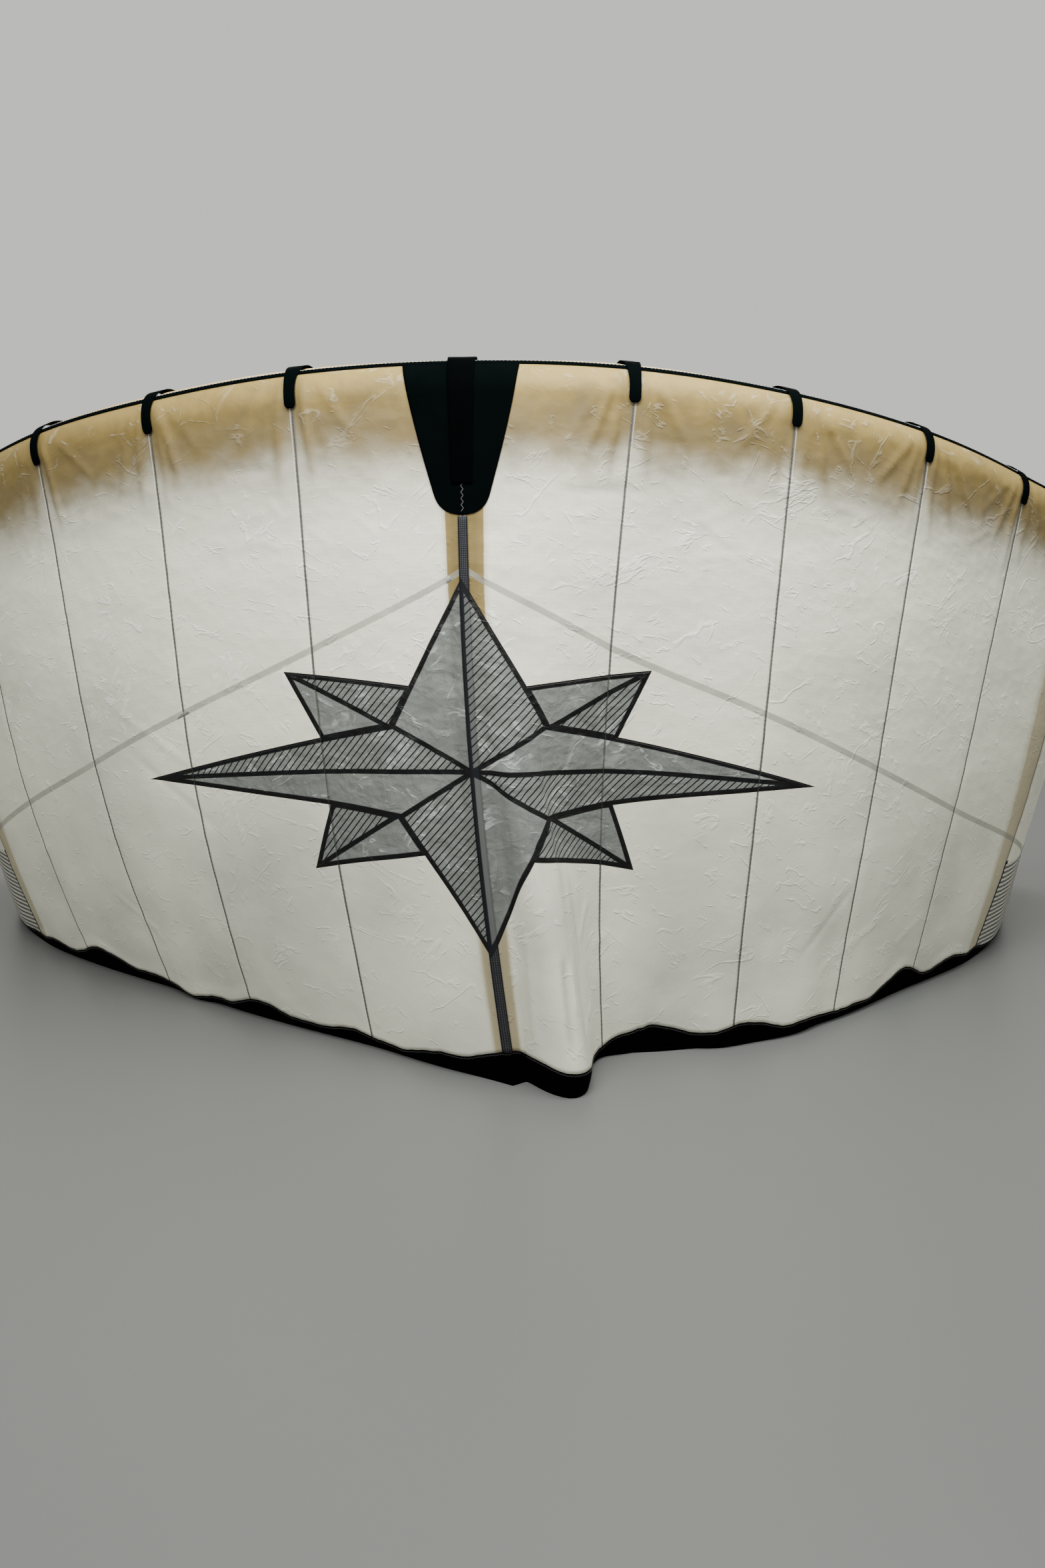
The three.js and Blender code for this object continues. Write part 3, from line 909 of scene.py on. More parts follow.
@dataclass(frozen=True)
class Motif:
    """A plain eight-pointed compass star on the cloth, half in grey film and half hatched."""

    across: float = -0.01
    down: float = 1.22
    long_half: float = 1.12
    short_half: float = 0.54
    waist: Pair = (0.235, 0.135)
    corner: Pair = (0.56, 0.30)
    corner_foot: Pair = (0.42, 0.22)
    outline: float = 0.0105
    outline_inside: float = 0.0050
    spine_share: float = 1.4
    soft: Pair = (0.85, 1.15)
    hatch: float = 0.0165
    hatch_edge: Pair = (0.37, 0.41)
    film_edge: float = 0.001

    def side(self, x: Wire, y: Wire, start: Pair, end: Pair) -> Wire:
        """Distance inside a line, positive towards the star's centre.

        Args:
            x: Metres across from the centre.
            y: Metres down from the centre.
            start: One end of the line.
            end: Its other end.

        Returns:
            The distance.
        """
        dx, dy = end[0] - start[0], end[1] - start[1]
        size, turn = math.hypot(dx, dy), start[0] * dy - start[1] * dx
        sign = math.copysign(1.0, turn)
        return (x * (-dy / size) + y * (dx / size) + turn / size) * sign

    def beyond(self, x: Wire, y: Wire, end: Pair) -> Wire:
        """How far a place lies from the line between the centre and a point, on its lower side."""
        return x * end[1] - y * end[0]

    def masks(self, u: Wire, v: Wire) -> tuple[Wire, Wire]:
        """Where the star's film lies and where its black lines lie.

        Args:
            u: Metres across the cloth.
            v: Metres down the cloth.

        Returns:
            The film's mask and the black lines' mask.
        """
        x, y = u - self.across, v - self.down
        ax, ay = abs(x), abs(y)
        wide = self.side(ax, ay, (self.long_half, 0.0), self.waist)
        tall = self.side(ax, ay, self.waist, (0.0, self.short_half))
        to_waist = self.beyond(ax, ay, self.waist)
        to_corner = self.beyond(ax, ay, self.corner)
        flat_part = to_waist.over(0.0)
        cross = wide * flat_part + tall * (1 - flat_part)
        low = self.side(ax, ay, (self.corner_foot[0], 0.0), self.corner)
        high = self.side(ax, ay, self.corner, (0.0, self.corner_foot[1]))
        star = cross.most(low.least(high))
        on_cross = cross.over(0.0)
        rim = abs(cross).least(abs(star))
        spine = ax.least(ay) + (1 - on_cross)
        slant = abs(to_corner) / math.hypot(*self.corner) + on_cross
        meeting = abs(to_waist) / math.hypot(*self.waist) + (1 - on_cross)
        inner = spine.least(slant).least(meeting) * self.spine_share
        soft = [self.outline * share for share in self.soft]
        edges = 1 - rim.least(inner).ease(*soft)
        turn = (x * y).over(0.0)
        halves = flat_part * turn + (1 - flat_part) * (1 - turn)
        below = 1 - to_corner.over(0.0)
        hatched = on_cross * halves + (1 - on_cross) * (below * turn + (1 - below) * (1 - turn))
        lines = abs(((u + v) / (self.hatch * math.sqrt(2))).part() - 0.5).ease(*self.hatch_edge)
        inside = star.over(-self.outline_inside)
        film = star.ease(-self.film_edge, self.film_edge)
        return film, inside * edges.most(hatched * lines * film)


@dataclass(frozen=True)
class Crinkle:
    """Thin creases that run mostly one way: their angle, how many to a metre, and where they lie."""

    turn: float
    scale: float
    stretch: float = 0.4
    width: float = 0.022
    lies: Pair = (0.50, 0.62)

    def lines(self, cloth: "Cloth", patches: Wire) -> Wire:
        """Draws the creases.

        Args:
            cloth: The material.
            patches: Noise that is high where they lie.

        Returns:
            One along each crease, nothing beside it.
        """
        along = cloth.u * math.cos(self.turn) + cloth.v * math.sin(self.turn)
        across = cloth.v * math.cos(self.turn) - cloth.u * math.sin(self.turn)
        place = cloth.vector(along * self.stretch, across, self.turn)
        waves = cloth.noise(place, Noise(self.scale, 4.0, 0.5))
        return (1 - abs(waves - 0.5).ease(0.0, self.width)) * patches.ease(*self.lies)


class Cloth(Paint):
    """The canopy's node tree, with what its mesh says about each place and the noises that it shares."""

    CLOUDY = Noise(1.7, 4.0)
    PATCHY = Noise(7.0, 5.0, 0.6)
    STREAKY = Noise(15.0, 5.0, 0.8)
    RISING = Crinkle(math.radians(-38), 8.0)
    FALLING = Crinkle(math.radians(24), 11.0)

    def __init__(self, name: str, gloss: float) -> None:
        """Reads the mesh's marks and makes the shared noises.

        Args:
            name: The material's name.
            gloss: The shader's specular level.
        """
        super().__init__(name, gloss)
        self.u, self.v, _ = self.point("cloth")
        self.seam, self.strut, self.web = self.point("marks")
        # edges: wrap round the tube, panels from the centre, and the strength of the painted shade.
        self.wrap, self.panels, self.painted_shade = self.point("edges")
        self.fold, self.over_foot, self.outboard = self.point("folds")
        slanted = self.vector(self.u * 0.8 + self.v * 0.5, self.v * 1.1 - self.u * 0.4)
        at = self.vector(self.u, self.v)
        self.cloud, self.patchy = self.noise(at, self.CLOUDY), self.noise(at, self.PATCHY)
        self.streaks = self.noise(slanted, self.STREAKY)
        rising, falling = self.RISING.lines(self, self.patchy), self.FALLING.lines(self, self.streaks)
        # Crease lines: relief in the bump, and the mask of the painted highlights along the creases.
        self.crest = rising.most(falling)


@dataclass(frozen=True)
class Ripstop:
    """Colours and relief of the bare cloth: broad tone with painted shade lower down, ribs, cells, and fine
    creases with painted highlights along them.
    """

    bright: Colour = (0.91, 0.91, 0.755, 1.0)
    # Painted shade: the darker tone that the cloth takes further down, away from the light above, mixed with
    # random tone.
    shaded_dull: Colour = (0.54, 0.54, 0.465, 1.0)
    # Painted highlight along the fine creases.
    crest: Colour = (0.92, 0.92, 0.86, 1.0)
    rib: Colour = (0.42, 0.42, 0.36, 1.0)
    grid: float = 0.0062
    rib_share: float = 0.30
    pick_share: float = 0.06
    shading_down: Pair = (0.9, 1.7)
    calms: Pair = (0.75, 1.5)
    calm: float = 0.8
    coarse_cells: float = 8.0
    fine_cells: float = 24.0

    def lively(self, cloth: Cloth) -> Wire:
        """One near the leading edge, where the cloth is most crinkled, less further down."""
        return 1 - cloth.v.ease(*self.calms) * self.calm

    def colour(self, cloth: Cloth) -> Wire:
        """Colour of the bare cloth, with painted shade lower down and painted highlights along its creases.

        Args:
            cloth: The material.

        Returns:
            The colour.
        """
        lively = self.lively(cloth)
        # Painted shade darkens the cloth further down; the cloud noise adds random tone.
        shade_and_tone = cloth.v.ease(*self.shading_down) * 0.55 + (cloth.cloud.ease(0.3, 0.8) - 0.35) * 0.9
        tone = cloth.mix(self.bright, self.shaded_dull, shade_and_tone.least(1.0))
        ribs, picks = cloth.waves(cloth.u, self.grid), cloth.waves(cloth.v, 2 * self.grid)
        weave = (ribs * ribs * self.rib_share + picks * self.pick_share) * (0.55 + 0.45 * lively)
        # The crest colour is a painted highlight along the fine creases.
        return cloth.mix(cloth.mix(tone, self.rib, weave), self.crest, cloth.crest * lively * 0.75)

    def relief(self, cloth: Cloth, film: Wire) -> Wire:
        """Relief of the cloth, and the stiffer crumples of the film on it.

        Args:
            cloth: The material.
            film: Where the film lies.

        Returns:
            The height.
        """
        u, v, patchy, streaks = cloth.u, cloth.v, cloth.patchy, cloth.streaks
        lively = self.lively(cloth)
        bent = cloth.vector(u * 0.85 + patchy * 0.05, v * 1.3 + streaks * 0.04)
        coarse = cloth.cells(bent, self.coarse_cells)
        fine = cloth.cells(cloth.vector(u + streaks * 0.03, v * 1.25), self.fine_cells)
        upright = cloth.noise(cloth.vector(u, v * 0.25), Noise(22.0, 4.0, 0.9))
        height = coarse * (0.42 * lively + 0.2 * film) + fine * (0.15 * lively + 0.26 * film)
        height = height + cloth.crest * 0.16 + cloth.waves(u, self.grid) * 0.02
        return height + streaks * (0.12 + 0.7 * film) + upright * film * 0.9


@dataclass(frozen=True)
class Behind:
    """Colours of the tubes and tapes behind the cloth, and how far each shows through, with painted shade and
    shadows on the cloth and painted highlights on the tan.
    """

    # Lit and shaded copies of the tan: painted lighter near the top of the tube, darker further down; the
    # struts' glow mixes the same two.
    lit_tan: Colour = (0.285, 0.200, 0.052, 1.0)
    shaded_tan: Colour = (0.166, 0.113, 0.026, 1.0)
    shaded: Colour = (0.30, 0.275, 0.21, 1.0)
    # Colour of painted shade: the tube's shadowed underside, and shadowed spots where the tan shows.
    umber: Colour = (0.145, 0.115, 0.062, 1.0)
    shadow: Colour = (0.27, 0.27, 0.235, 1.0)
    # Painted highlight along the crinkles on the tan.
    crest: Colour = (0.92, 0.92, 0.86, 1.0)
    open_seam: Pair = (0.012, 0.055)
    tube_edge: Pair = (0.86, 1.48)
    tube_share: float = 0.96
    tan_shading: Pair = (0.08, 0.62)
    shade_edge: Pair = (1.2, 2.4)
    shade_share: float = 0.56
    under_from: Pair = (0.45, 0.85)
    under_to: Pair = (1.0, 1.75)
    lowers: Pair = (0.9, 1.9)
    fringe_edge: Pair = (1.0, 1.35)
    fringe_share: float = 0.30
    glow_share: float = 0.95
    glow_fades: float = 0.36
    outer_fades: float = 0.52
    outer_from: float = 2.5
    web_edge: Pair = (0.0085, 0.0115)

    def tube(self, cloth: Cloth, colour: Wire) -> tuple[Wire, Wire]:
        """Tan of the leading-edge tube, painted lighter at its top and darker further down as light and
        shade, with painted shade on the cloth below it and a painted shadow along its underside.

        Args:
            cloth: The material.
            colour: The cloth's own colour.

        Returns:
            The new colour, and where the tube shows.
        """
        cloud, patchy, streaks = cloth.cloud - 0.5, cloth.patchy - 0.5, cloth.streaks - 0.5
        open_seam = 1 - (cloth.seam + patchy * 0.05).ease(*self.open_seam)
        reach = cloth.wrap + patchy * 0.45 + cloud * 0.5 + streaks * 0.25
        reach = reach + open_seam * 0.17 - cloth.fold * 0.10
        # Painted shade: the cloth below the tube is greyed where the tube blocks the light from behind.
        grey = 1 - (cloth.wrap + cloud * 0.8 + patchy * 0.3).ease(*self.shade_edge)
        colour = cloth.mix(colour, self.shaded, grey * self.shade_share)
        shown = 1 - reach.ease(*self.tube_edge)
        # Painted light and shade on the tan: lighter near the top of the tube, darker further down and in the
        # drapes beside the seams, with random tone.
        tan_shade = (reach + cloth.fold * 0.25).ease(*self.tan_shading) * 0.85 + streaks * 0.6 + patchy * 0.4
        tan = cloth.mix(self.lit_tan, self.shaded_tan, tan_shade.share())
        # Painted highlights along the crinkles on the tan.
        tan = cloth.mix(tan, self.crest, cloth.crest * 0.11)
        colour = cloth.mix(colour, tan, shown * self.tube_share)
        # Painted shadow along the tube's underside, at the lower edge of the tan.
        under = reach.ease(*self.under_from) * (1 - reach.ease(*self.under_to))
        return cloth.mix(colour, self.umber, under * (0.25 + 0.45 * cloth.patchy)), shown

    def struts(self, cloth: Cloth, colour: Wire, shown: Wire) -> Wire:
        """Tan glow of the struts beside their seams.

        Args:
            cloth: The material.
            colour: Colour so far.
            shown: Where the leading-edge tube shows.

        Returns:
            The new colour.
        """
        low = cloth.v.ease(*self.lowers)
        outer = cloth.panels.over(self.outer_from)
        edge = cloth.strut + (cloth.patchy - 0.5) * 0.14
        clear = 1 - shown
        fringe = (1 - edge.ease(*self.fringe_edge)) * clear * self.fringe_share
        colour = cloth.mix(colour, self.lit_tan, fringe)
        strength = (self.glow_share - self.glow_fades * low) * (1 - outer * self.outer_fades)
        glow = (1 - ((edge - 1.0) / (0.05 + 0.12 * low)).ease(-1.0, 1.0)) * clear * strength
        pale = 0.55 * edge.ease(0.35, 0.95) - 0.20 + (cloth.cloud - 0.5) * 0.4 + outer * 0.9
        return cloth.mix(colour, cloth.mix(self.shaded_tan, self.lit_tan, pale.share()), glow)

    def colour(self, cloth: Cloth, colour: Wire) -> Wire:
        """Everything that shows through the cloth, and the painted shade of soft shadowed places.

        Args:
            cloth: The material.
            colour: The cloth's own colour.

        Returns:
            The new colour.
        """
        colour, shown = self.tube(cloth, colour)
        colour = self.struts(cloth, colour, shown)
        web = (1 - cloth.web.ease(*self.web_edge)) * (0.5 + 0.35 * cloth.patchy)
        colour = cloth.mix(colour, self.shadow, web)
        # Painted shade: shadowed spots, hollow creases and the seams below the tabs darken to grey, or to
        # umber where the tan shows.
        return cloth.mix(colour, cloth.mix(self.shadow, self.umber, shown), cloth.painted_shade)


@dataclass(frozen=True)
class TipStripes:
    """Plain level stripes at the foot of each tip, beside a thin black line along the strut's seam."""

    stripe: Colour = (0.36, 0.37, 0.36, 1.0)
    pitch: float = 0.0205
    top: float = 0.405
    from_panel: float = 5.0
    line_reach: float = 0.5
    stripe_edge: Pair = (0.22, 0.28)
    line_edge: Pair = (0.0085, 0.0105)
    bar_edge: Pair = (0.007, 0.009)
    bar_end: Pair = (0.018, 0.021)
    bar_over: float = 0.006
    tone_share: float = 0.45
    black_share: float = 0.80

    def colour(self, cloth: Cloth, colour: Wire, black: Colour) -> Wire:
        """The stripes and their line.

        Args:
            cloth: The material.
            colour: Colour so far.
            black: The stripes' black.

        Returns:
            The new colour.
        """
        tip = cloth.panels.over(self.from_panel)
        at_seam = 1 - (cloth.panels - self.from_panel).over(self.line_reach)
        low = 1 - cloth.over_foot.ease(self.top - 0.004, self.top + 0.004)
        stripes = abs((cloth.over_foot / self.pitch).part() - 0.5).ease(*self.stripe_edge)
        line = (1 - cloth.seam.ease(*self.line_edge)) * at_seam
        bar = 1 - abs(cloth.over_foot - self.top - self.bar_over).ease(*self.bar_edge)
        bar = bar * (1 - cloth.seam.ease(*self.bar_end)) * at_seam
        toned = cloth.mix(colour, self.stripe, tip * low * self.tone_share)
        striped = cloth.mix(toned, black, stripes * tip * low * self.black_share)
        return cloth.mix(striped, black, (line * low).most(bar) * tip)


@dataclass(frozen=True)
class CanopyCloth(Finish):
    """Thin pale ripstop cloth that lets the tan tubes behind it show through."""

    film: Colour = (0.125, 0.137, 0.137, 1.0)
    # Lighter grey of the film: random worn patches, and painted highlights along its crinkles.
    film_wear_and_highlight: Colour = (0.38, 0.40, 0.40, 1.0)
    film_share: float = 0.95
    black: Colour = (0.0015, 0.0017, 0.0020, 1.0)
    thread: Colour = (0.135, 0.135, 0.122, 1.0)
    gloss: float = 0.3
    roughness: float = 0.60
    film_gloss: float = 0.16
    depth: float = 0.0075
    line_edge: Pair = (0.0027, 0.0047)
    stitch_pitch: float = 0.014
    beside_line: float = 0.0056
    bare: Ripstop = Ripstop()
    behind: Behind = Behind()
    stripes: TipStripes = TipStripes()
    motif: Motif = Motif()

    def make(self) -> bpy.types.Material:
        """Makes the material from the cloth's own metres and marks.

        Returns:
            The material.
        """
        cloth = Cloth(self.name, self.gloss)
        colour = self.bare.colour(cloth)
        colour = self.behind.colour(cloth, colour)
        film, lines = self.motif.masks(cloth.u, cloth.v)
        colour = self.filmed(cloth, colour, film)
        colour = self.sewn(cloth, colour, film)
        colour = cloth.mix(colour, self.black, lines)
        colour = self.stripes.colour(cloth, colour, self.black)
        height = self.bare.relief(cloth, film)
        return cloth.finish(colour, self.roughness - self.film_gloss * film, height, self.depth)

    def filmed(self, cloth: Cloth, colour: Wire, film: Wire) -> Wire:
        """Grey film on the cloth, lighter in random worn patches and in painted highlights along its
        crinkles.

        Args:
            cloth: The material.
            colour: Colour so far.
            film: Where the film lies.

        Returns:
            The new colour.
        """
        # Random wear, and painted highlights along the crinkles, lighten the film.
        worn = (cloth.streaks - 0.5) * 0.9 + (cloth.patchy - 0.5) * 0.8 + cloth.crest * 0.8
        grey = cloth.mix(self.film, self.film_wear_and_highlight, worn.most(0.0))
        grey = cloth.mix(grey, self.behind.shadow, 0.08)
        return cloth.mix(colour, grey, film * self.film_share)

    def sewn(self, cloth: Cloth, colour: Wire, film: Wire) -> Wire:
        """Dark thread along the panel seams, and the lit edge of the lapped cloth beside it.

        Args:
            cloth: The material.
            colour: Colour so far.
            film: Where the film lies.

        Returns:
            The new colour.
        """
        stitches = (cloth.v * (2 * math.pi / self.stitch_pitch)).sine() * 0.0004
        wobble = cloth.seam + (cloth.streaks - 0.5) * 0.0012 + stitches
        line = (1 - wobble.ease(*self.line_edge)) * (0.75 + 0.35 * cloth.patchy)
        lit = (1 - abs(cloth.seam - self.beside_line).ease(0.0006, 0.0018)) * cloth.outboard
        colour = cloth.mix(colour, self.bare.crest, lit * (1 - film) * 0.32)
        return cloth.mix(colour, self.thread, line.least(0.95) * (1 - film * 0.35))


@dataclass(frozen=True)
class Woven(Finish):
    """Plain woven cloth with a visible weave, uneven tone and soft creases."""

    colour: Colour
    worn: Colour
    pitch: float
    roughness: float
    depth: float
    relief: float = 0.35
    gloss: float = 0.3
    clouds: Noise = Noise(9.0, 5.0, 0.4)
    creases: Noise = Noise(24.0, 4.0, 0.8)

    def make(self) -> bpy.types.Material:
        """Makes the material from the cloth's own metres.

        Returns:
            The material.
        """
        paint = Paint(self.name, self.gloss)
        u, v, _ = paint.point("cloth")
        turns = 2 * math.pi / self.pitch
        weave = (u * turns).sine() * (v * turns).sine() * 0.5 + 0.5
        cloud = paint.noise(paint.vector(u, v), self.clouds)
        soft = paint.noise(paint.vector(u, v * 0.8), self.creases)
        colour = paint.mix(self.colour, self.worn, cloud.ease(0.35, 0.8) * 0.7 + weave * 0.18)
        height = weave * self.relief + soft * 0.65
        return paint.finish(colour, self.roughness + (cloud - 0.5) * 0.16, height, self.depth)


@dataclass(frozen=True)
class NetTape(Finish):
    """Dark woven tape with a lighter grid of threads and plain edges."""

    dark: Colour = (0.011, 0.012, 0.015, 1.0)
    light: Colour = (0.075, 0.079, 0.084, 1.0)
    film: Colour = (0.118, 0.124, 0.120, 1.0)
    gloss: float = 0.08
    pitch: float = 0.0050
    half: float = 0.013
    selvedge: Pair = (0.002, 0.004)
    threads_across: Pair = (0.42, 0.22)
    threads_along: Pair = (0.42, 0.20)
    depth: float = 0.0005
    patches: Noise = Noise(60.0)
    motif: Motif = Motif()

    def make(self) -> bpy.types.Material:
        """Makes the material from the tape's own metres.

        Returns:
            The material.
        """
        paint = Paint(self.name, self.gloss)
        u, v, _ = paint.point("cloth")
        across = abs((u / self.pitch).part() - 0.5).ease(*self.threads_across)
        along = abs((v / self.pitch).part() - 0.5).ease(*self.threads_along)
        inside = abs(u).ease(*(self.half - width for width in self.selvedge))
        threads = across * along * inside
        patchy = paint.noise(paint.vector(u, v), self.patches)
        colour = paint.mix(self.dark, self.light, threads * (0.45 + 0.5 * patchy))
        film, lines = self.motif.masks(u, v)
        colour = paint.mix(colour, self.film, film * (0.86 - 0.14 * threads))
        colour = paint.mix(colour, self.dark, lines)
        return paint.finish(colour, 0.75 - 0.1 * threads, threads * (1 - film * 0.7), self.depth)


def tone(red: float, green: float, blue: float) -> Colour:
    """A plain colour."""
    return (red, green, blue, 1.0)


CANOPY = CanopyCloth("ripstop")
BLACK = Woven(
    "black_reinforcement", tone(0.0003, 0.0012, 0.0013), tone(0.0010, 0.0022, 0.0024),
    pitch=0.0016, roughness=0.78, depth=0.0006, gloss=0.012,
)
COVER_BLACK = Woven(
    "black_cover", tone(0.0004, 0.0007, 0.0008), tone(0.0010, 0.0014, 0.0016),
    pitch=0.0020, roughness=0.85, depth=0.0006, gloss=0.008,
)
BAND_BLACK = Woven(
    "black_hem", tone(0.0006, 0.0008, 0.0008), tone(0.0014, 0.0017, 0.0017),
    pitch=0.0018, roughness=0.80, depth=0.0012, gloss=0.01,
)
TAN = Woven(
    "tan_polyester", tone(0.60, 0.44, 0.17), tone(0.68, 0.53, 0.26),
    pitch=0.0020, roughness=0.62, depth=0.0009, gloss=0.15,
)
GREY = Woven(
    "grey_tape", tone(0.30, 0.30, 0.28), tone(0.36, 0.36, 0.33),
    pitch=0.0014, roughness=0.7, depth=0.0004,
)
NET = NetTape("net_tape")
PALE_THREAD = Woven(
    "pale_thread", tone(0.34, 0.34, 0.33), tone(0.42, 0.42, 0.40),
    pitch=0.0006, roughness=0.6, depth=0.0001,
)
DARK_THREAD = Woven(
    "dark_thread", tone(0.07, 0.07, 0.068), tone(0.11, 0.11, 0.105),
    pitch=0.0006, roughness=0.6, depth=0.0001,
)


@dataclass(frozen=True)
class Grid:
    """Places of the whole cloth: rows run down it, and columns cross all the panels.

    s and a are places on the skin, u is metres across from the centre seam, part and drop are shares of the
    way down the cloth and down its straight drop, and gaps are metres across from each seam.
    """

    spans: tuple[Array, ...]
    tube: TubeFrame
    s: Array
    a: Array
    u: Array
    part: Array
    drop: Array
    base: Array
    normal: Array
    gaps: Array

    @property
    def seam(self) -> Array:
        """Metres across from the nearest seam."""
        return self.gaps.min(axis=0)


@dataclass
class Canopy:
    """The sixteen panels of pale cloth between the leading-edge tape and the hem band."""

    rows: int = 172
    columns: int = 52
    tip_columns: int = 36
    fine_columns: int = 72
    tip_from: int = 5
    joint: float = 0.0004
    gap: float = 0.0005
    darkest_depth: float = 0.020
    drape_height: float = 0.0055
    tab_below: float = 0.1
    glow_wide: Pair = (1.22, 1.05)
    glow_lopsided: Pair = (3.9, 0.3)
    narrowing: Pair = (0.20, 0.42)
    crinkle: Pair = (0.0008, 0.0020)
    billow: float = 0.006
    sag: float = 0.010
    draw: float = 0.0012
    pucker: float = 0.002

    creases: tuple[Crease, ...] = tuple(Crease(*row) for row in (
        (0.237, 1.72, 0.242, 2.05, 0.013, -0.008),
        (0.125, 1.66, 0.112, 2.05, 0.014, 0.005),
        (0.094, 0.92, 0.205, 1.60, 0.012, -0.0055),
        (0.150, 0.98, 0.262, 1.62, 0.016, 0.0050),
        (-0.045, 0.62, -0.060, 1.20, 0.009, -0.0030),
        (0.062, 0.62, 0.085, 0.98, 0.009, 0.0030),
        (-0.110, 0.70, -0.120, 1.45, 0.012, 0.0030),
        (0.330, 1.985, 0.362, 1.945, 0.007, 0.0045),
        (0.402, 1.965, 0.452, 1.935, 0.008, 0.0045),
        (0.262, 1.76, 0.268, 1.92, 0.008, 0.0050),
        (0.35, 1.74, 0.40, 1.60, 0.010, 0.0035),
        (0.30, 1.50, 0.36, 1.86, 0.012, -0.0035),
        (0.44, 1.78, 0.52, 1.72, 0.010, 0.0030),
        (0.24, 0.430, 0.54, 0.405, 0.012, -0.0034),
        (-0.76, 0.310, -0.53, 0.340, 0.010, -0.0034),
        (-0.58, 0.410, -0.54, 0.470, 0.006, 0.0028),
        (-0.47, 0.505, -0.38, 0.565, 0.006, 0.0028),
        (-1.34, 0.405, -1.22, 0.365, 0.007, 0.0026),
        (-1.17, 0.355, -1.08, 0.392, 0.006, 0.0024),
        (-0.66, 0.265, -0.61, 0.205, 0.006, 0.0026),
        (-0.62, 0.525, -0.54, 0.565, 0.006, 0.0024),
        (0.62, 0.570, 0.665, 0.515, 0.006, 0.0026),
        (0.67, 0.585, 0.81, 0.560, 0.006, 0.0028),
        (0.68, 0.460, 0.81, 0.545, 0.007, 0.0024),
        (1.11, 0.365, 1.27, 0.385, 0.006, 0.0028),
        (1.57, 0.385, 1.70, 0.365, 0.006, 0.0026),
        (1.71, 0.365, 1.85, 0.285, 0.007, 0.0028),
        (1.05, 0.425, 1.18, 0.445, 0.006, 0.0022),
        (-0.33, 0.470, -0.24, 0.550, 0.007, 0.0026),
        (0.15, 0.515, 0.25, 0.485, 0.006, 0.0026),
        (0.32, 0.505, 0.39, 0.465, 0.006, 0.0026),
        (0.10, 0.405, 0.19, 0.375, 0.006, 0.0026),
        (-1.30, 0.95, -0.95, 1.20, 0.012, 0.0022),
        (-1.25, 1.10, -0.90, 1.42, 0.014, -0.0022),
        (-1.60, 1.60, -1.36, 1.84, 0.014, 0.0020),
        (1.30, 1.86, 1.62, 1.62, 0.014, 0.0018),
        (1.20, 1.80, 1.42, 1.50, 0.012, -0.0026),
        (1.72, 1.76, 1.90, 1.60, 0.012, 0.0016),
    ))
    drapes: tuple[Drape, ...] = tuple(Drape(*row) for row in (
        (0.030, 0.050, 0.10, 0.40, 0.012, 0.0055),
        (0.052, 0.120, 0.11, 0.34, 0.014, 0.0050),
        (0.085, 0.215, 0.12, 0.29, 0.015, 0.0042),
    ))
    # Painted shadows of things behind the cloth near the tube, and painted shade on the flank of the big
    # fold.
    shade_spots: tuple[ShadeSpot, ...] = tuple(ShadeSpot(*row) for row in (
        (0.152, 0.285, 0.036, 0.085, 0.50),
        (0.338, 0.185, 0.020, 0.055, 0.42),
        (0.789, 0.215, 0.050, 0.014, 0.45),
        (-0.771, 0.200, 0.055, 0.016, 0.35),
        (0.975, 0.400, 0.010, 0.070, 0.22),
        (0.300, 1.86, 0.018, 0.20, 0.30),
        (0.262, 1.62, 0.014, 0.16, 0.22),
    ))

    def lay_out(self) -> Grid:
        """Works out every place of the cloth, for all panels at once.

        Returns:
            The places.
        """
        spans = tuple(self._columns(index) for index in PANELS)
        s = np.concatenate(spans)
        tube_at = SKIN.tube_frame(s)
        start = CLOTH_START * tube_at.radius[..., 0]
        part = np.linspace(0, 1, self.rows)[:, None]
        a = start + part * (SKIN.band_top(s) - self.joint - start)
        s = np.broadcast_to(s, a.shape)
        base = SKIN.inner(s, a)
        steps = np.linalg.norm(np.diff(base, axis=1), axis=-1)
        u = np.concatenate([np.zeros((self.rows, 1)), np.cumsum(steps, axis=1)], axis=1)
        ends = np.cumsum([0] + [len(span) for span in spans])
        u = u - u[:, ends[HALF_PANELS]][:, None]
        seams = np.stack([u[:, i] for i in ends[:-1]] + [u[:, -1]], 0)
        gaps = np.abs(u[None] - seams[:, :, None])
        drop = np.clip((a - tube_at.leave_length) / tube_at.drop[..., 0], 0, 1)
        return Grid(spans, tube_at, s, a, u, part, drop, base, SKIN.normal(s, a), gaps)

    def _columns(self, index: int) -> Array:
        """Places across one panel, kept a hair off its seams.

        Args:
            index: Number of the seam on the panel's left.

        Returns:
            The places, closest on the panel with the big fold.
        """
        count = self.columns if abs(index + 0.5) < self.tip_from else self.tip_columns
        if index == 0:
            count = self.fine_columns
        return index + np.linspace(self.gap, 1 - self.gap, count)

    def _struts(self, grid: Grid) -> Array:
        """Distance from the nearest strut, in shares of the half width of its glow.

        Args:
            grid: The places.

        Returns:
            The shares.
        """
        nearest = np.full_like(grid.u, 9.0)
        for row in STRUTS:
            centre = row.at == 0
            half = row.top + (row.foot - row.top) * grid.drop
            inboard, outboard = self.glow_wide if centre else self.glow_lopsided
            narrowing = self.narrowing[0 if centre else 1]
            is_inboard = (grid.s < row.at) == (row.at > 0)
            facing = np.where(is_inboard, inboard * (1 - narrowing * grid.drop), outboard)
            nearest = np.minimum(nearest, grid.gaps[row.at + HALF_PANELS] / (half * facing))
        return nearest

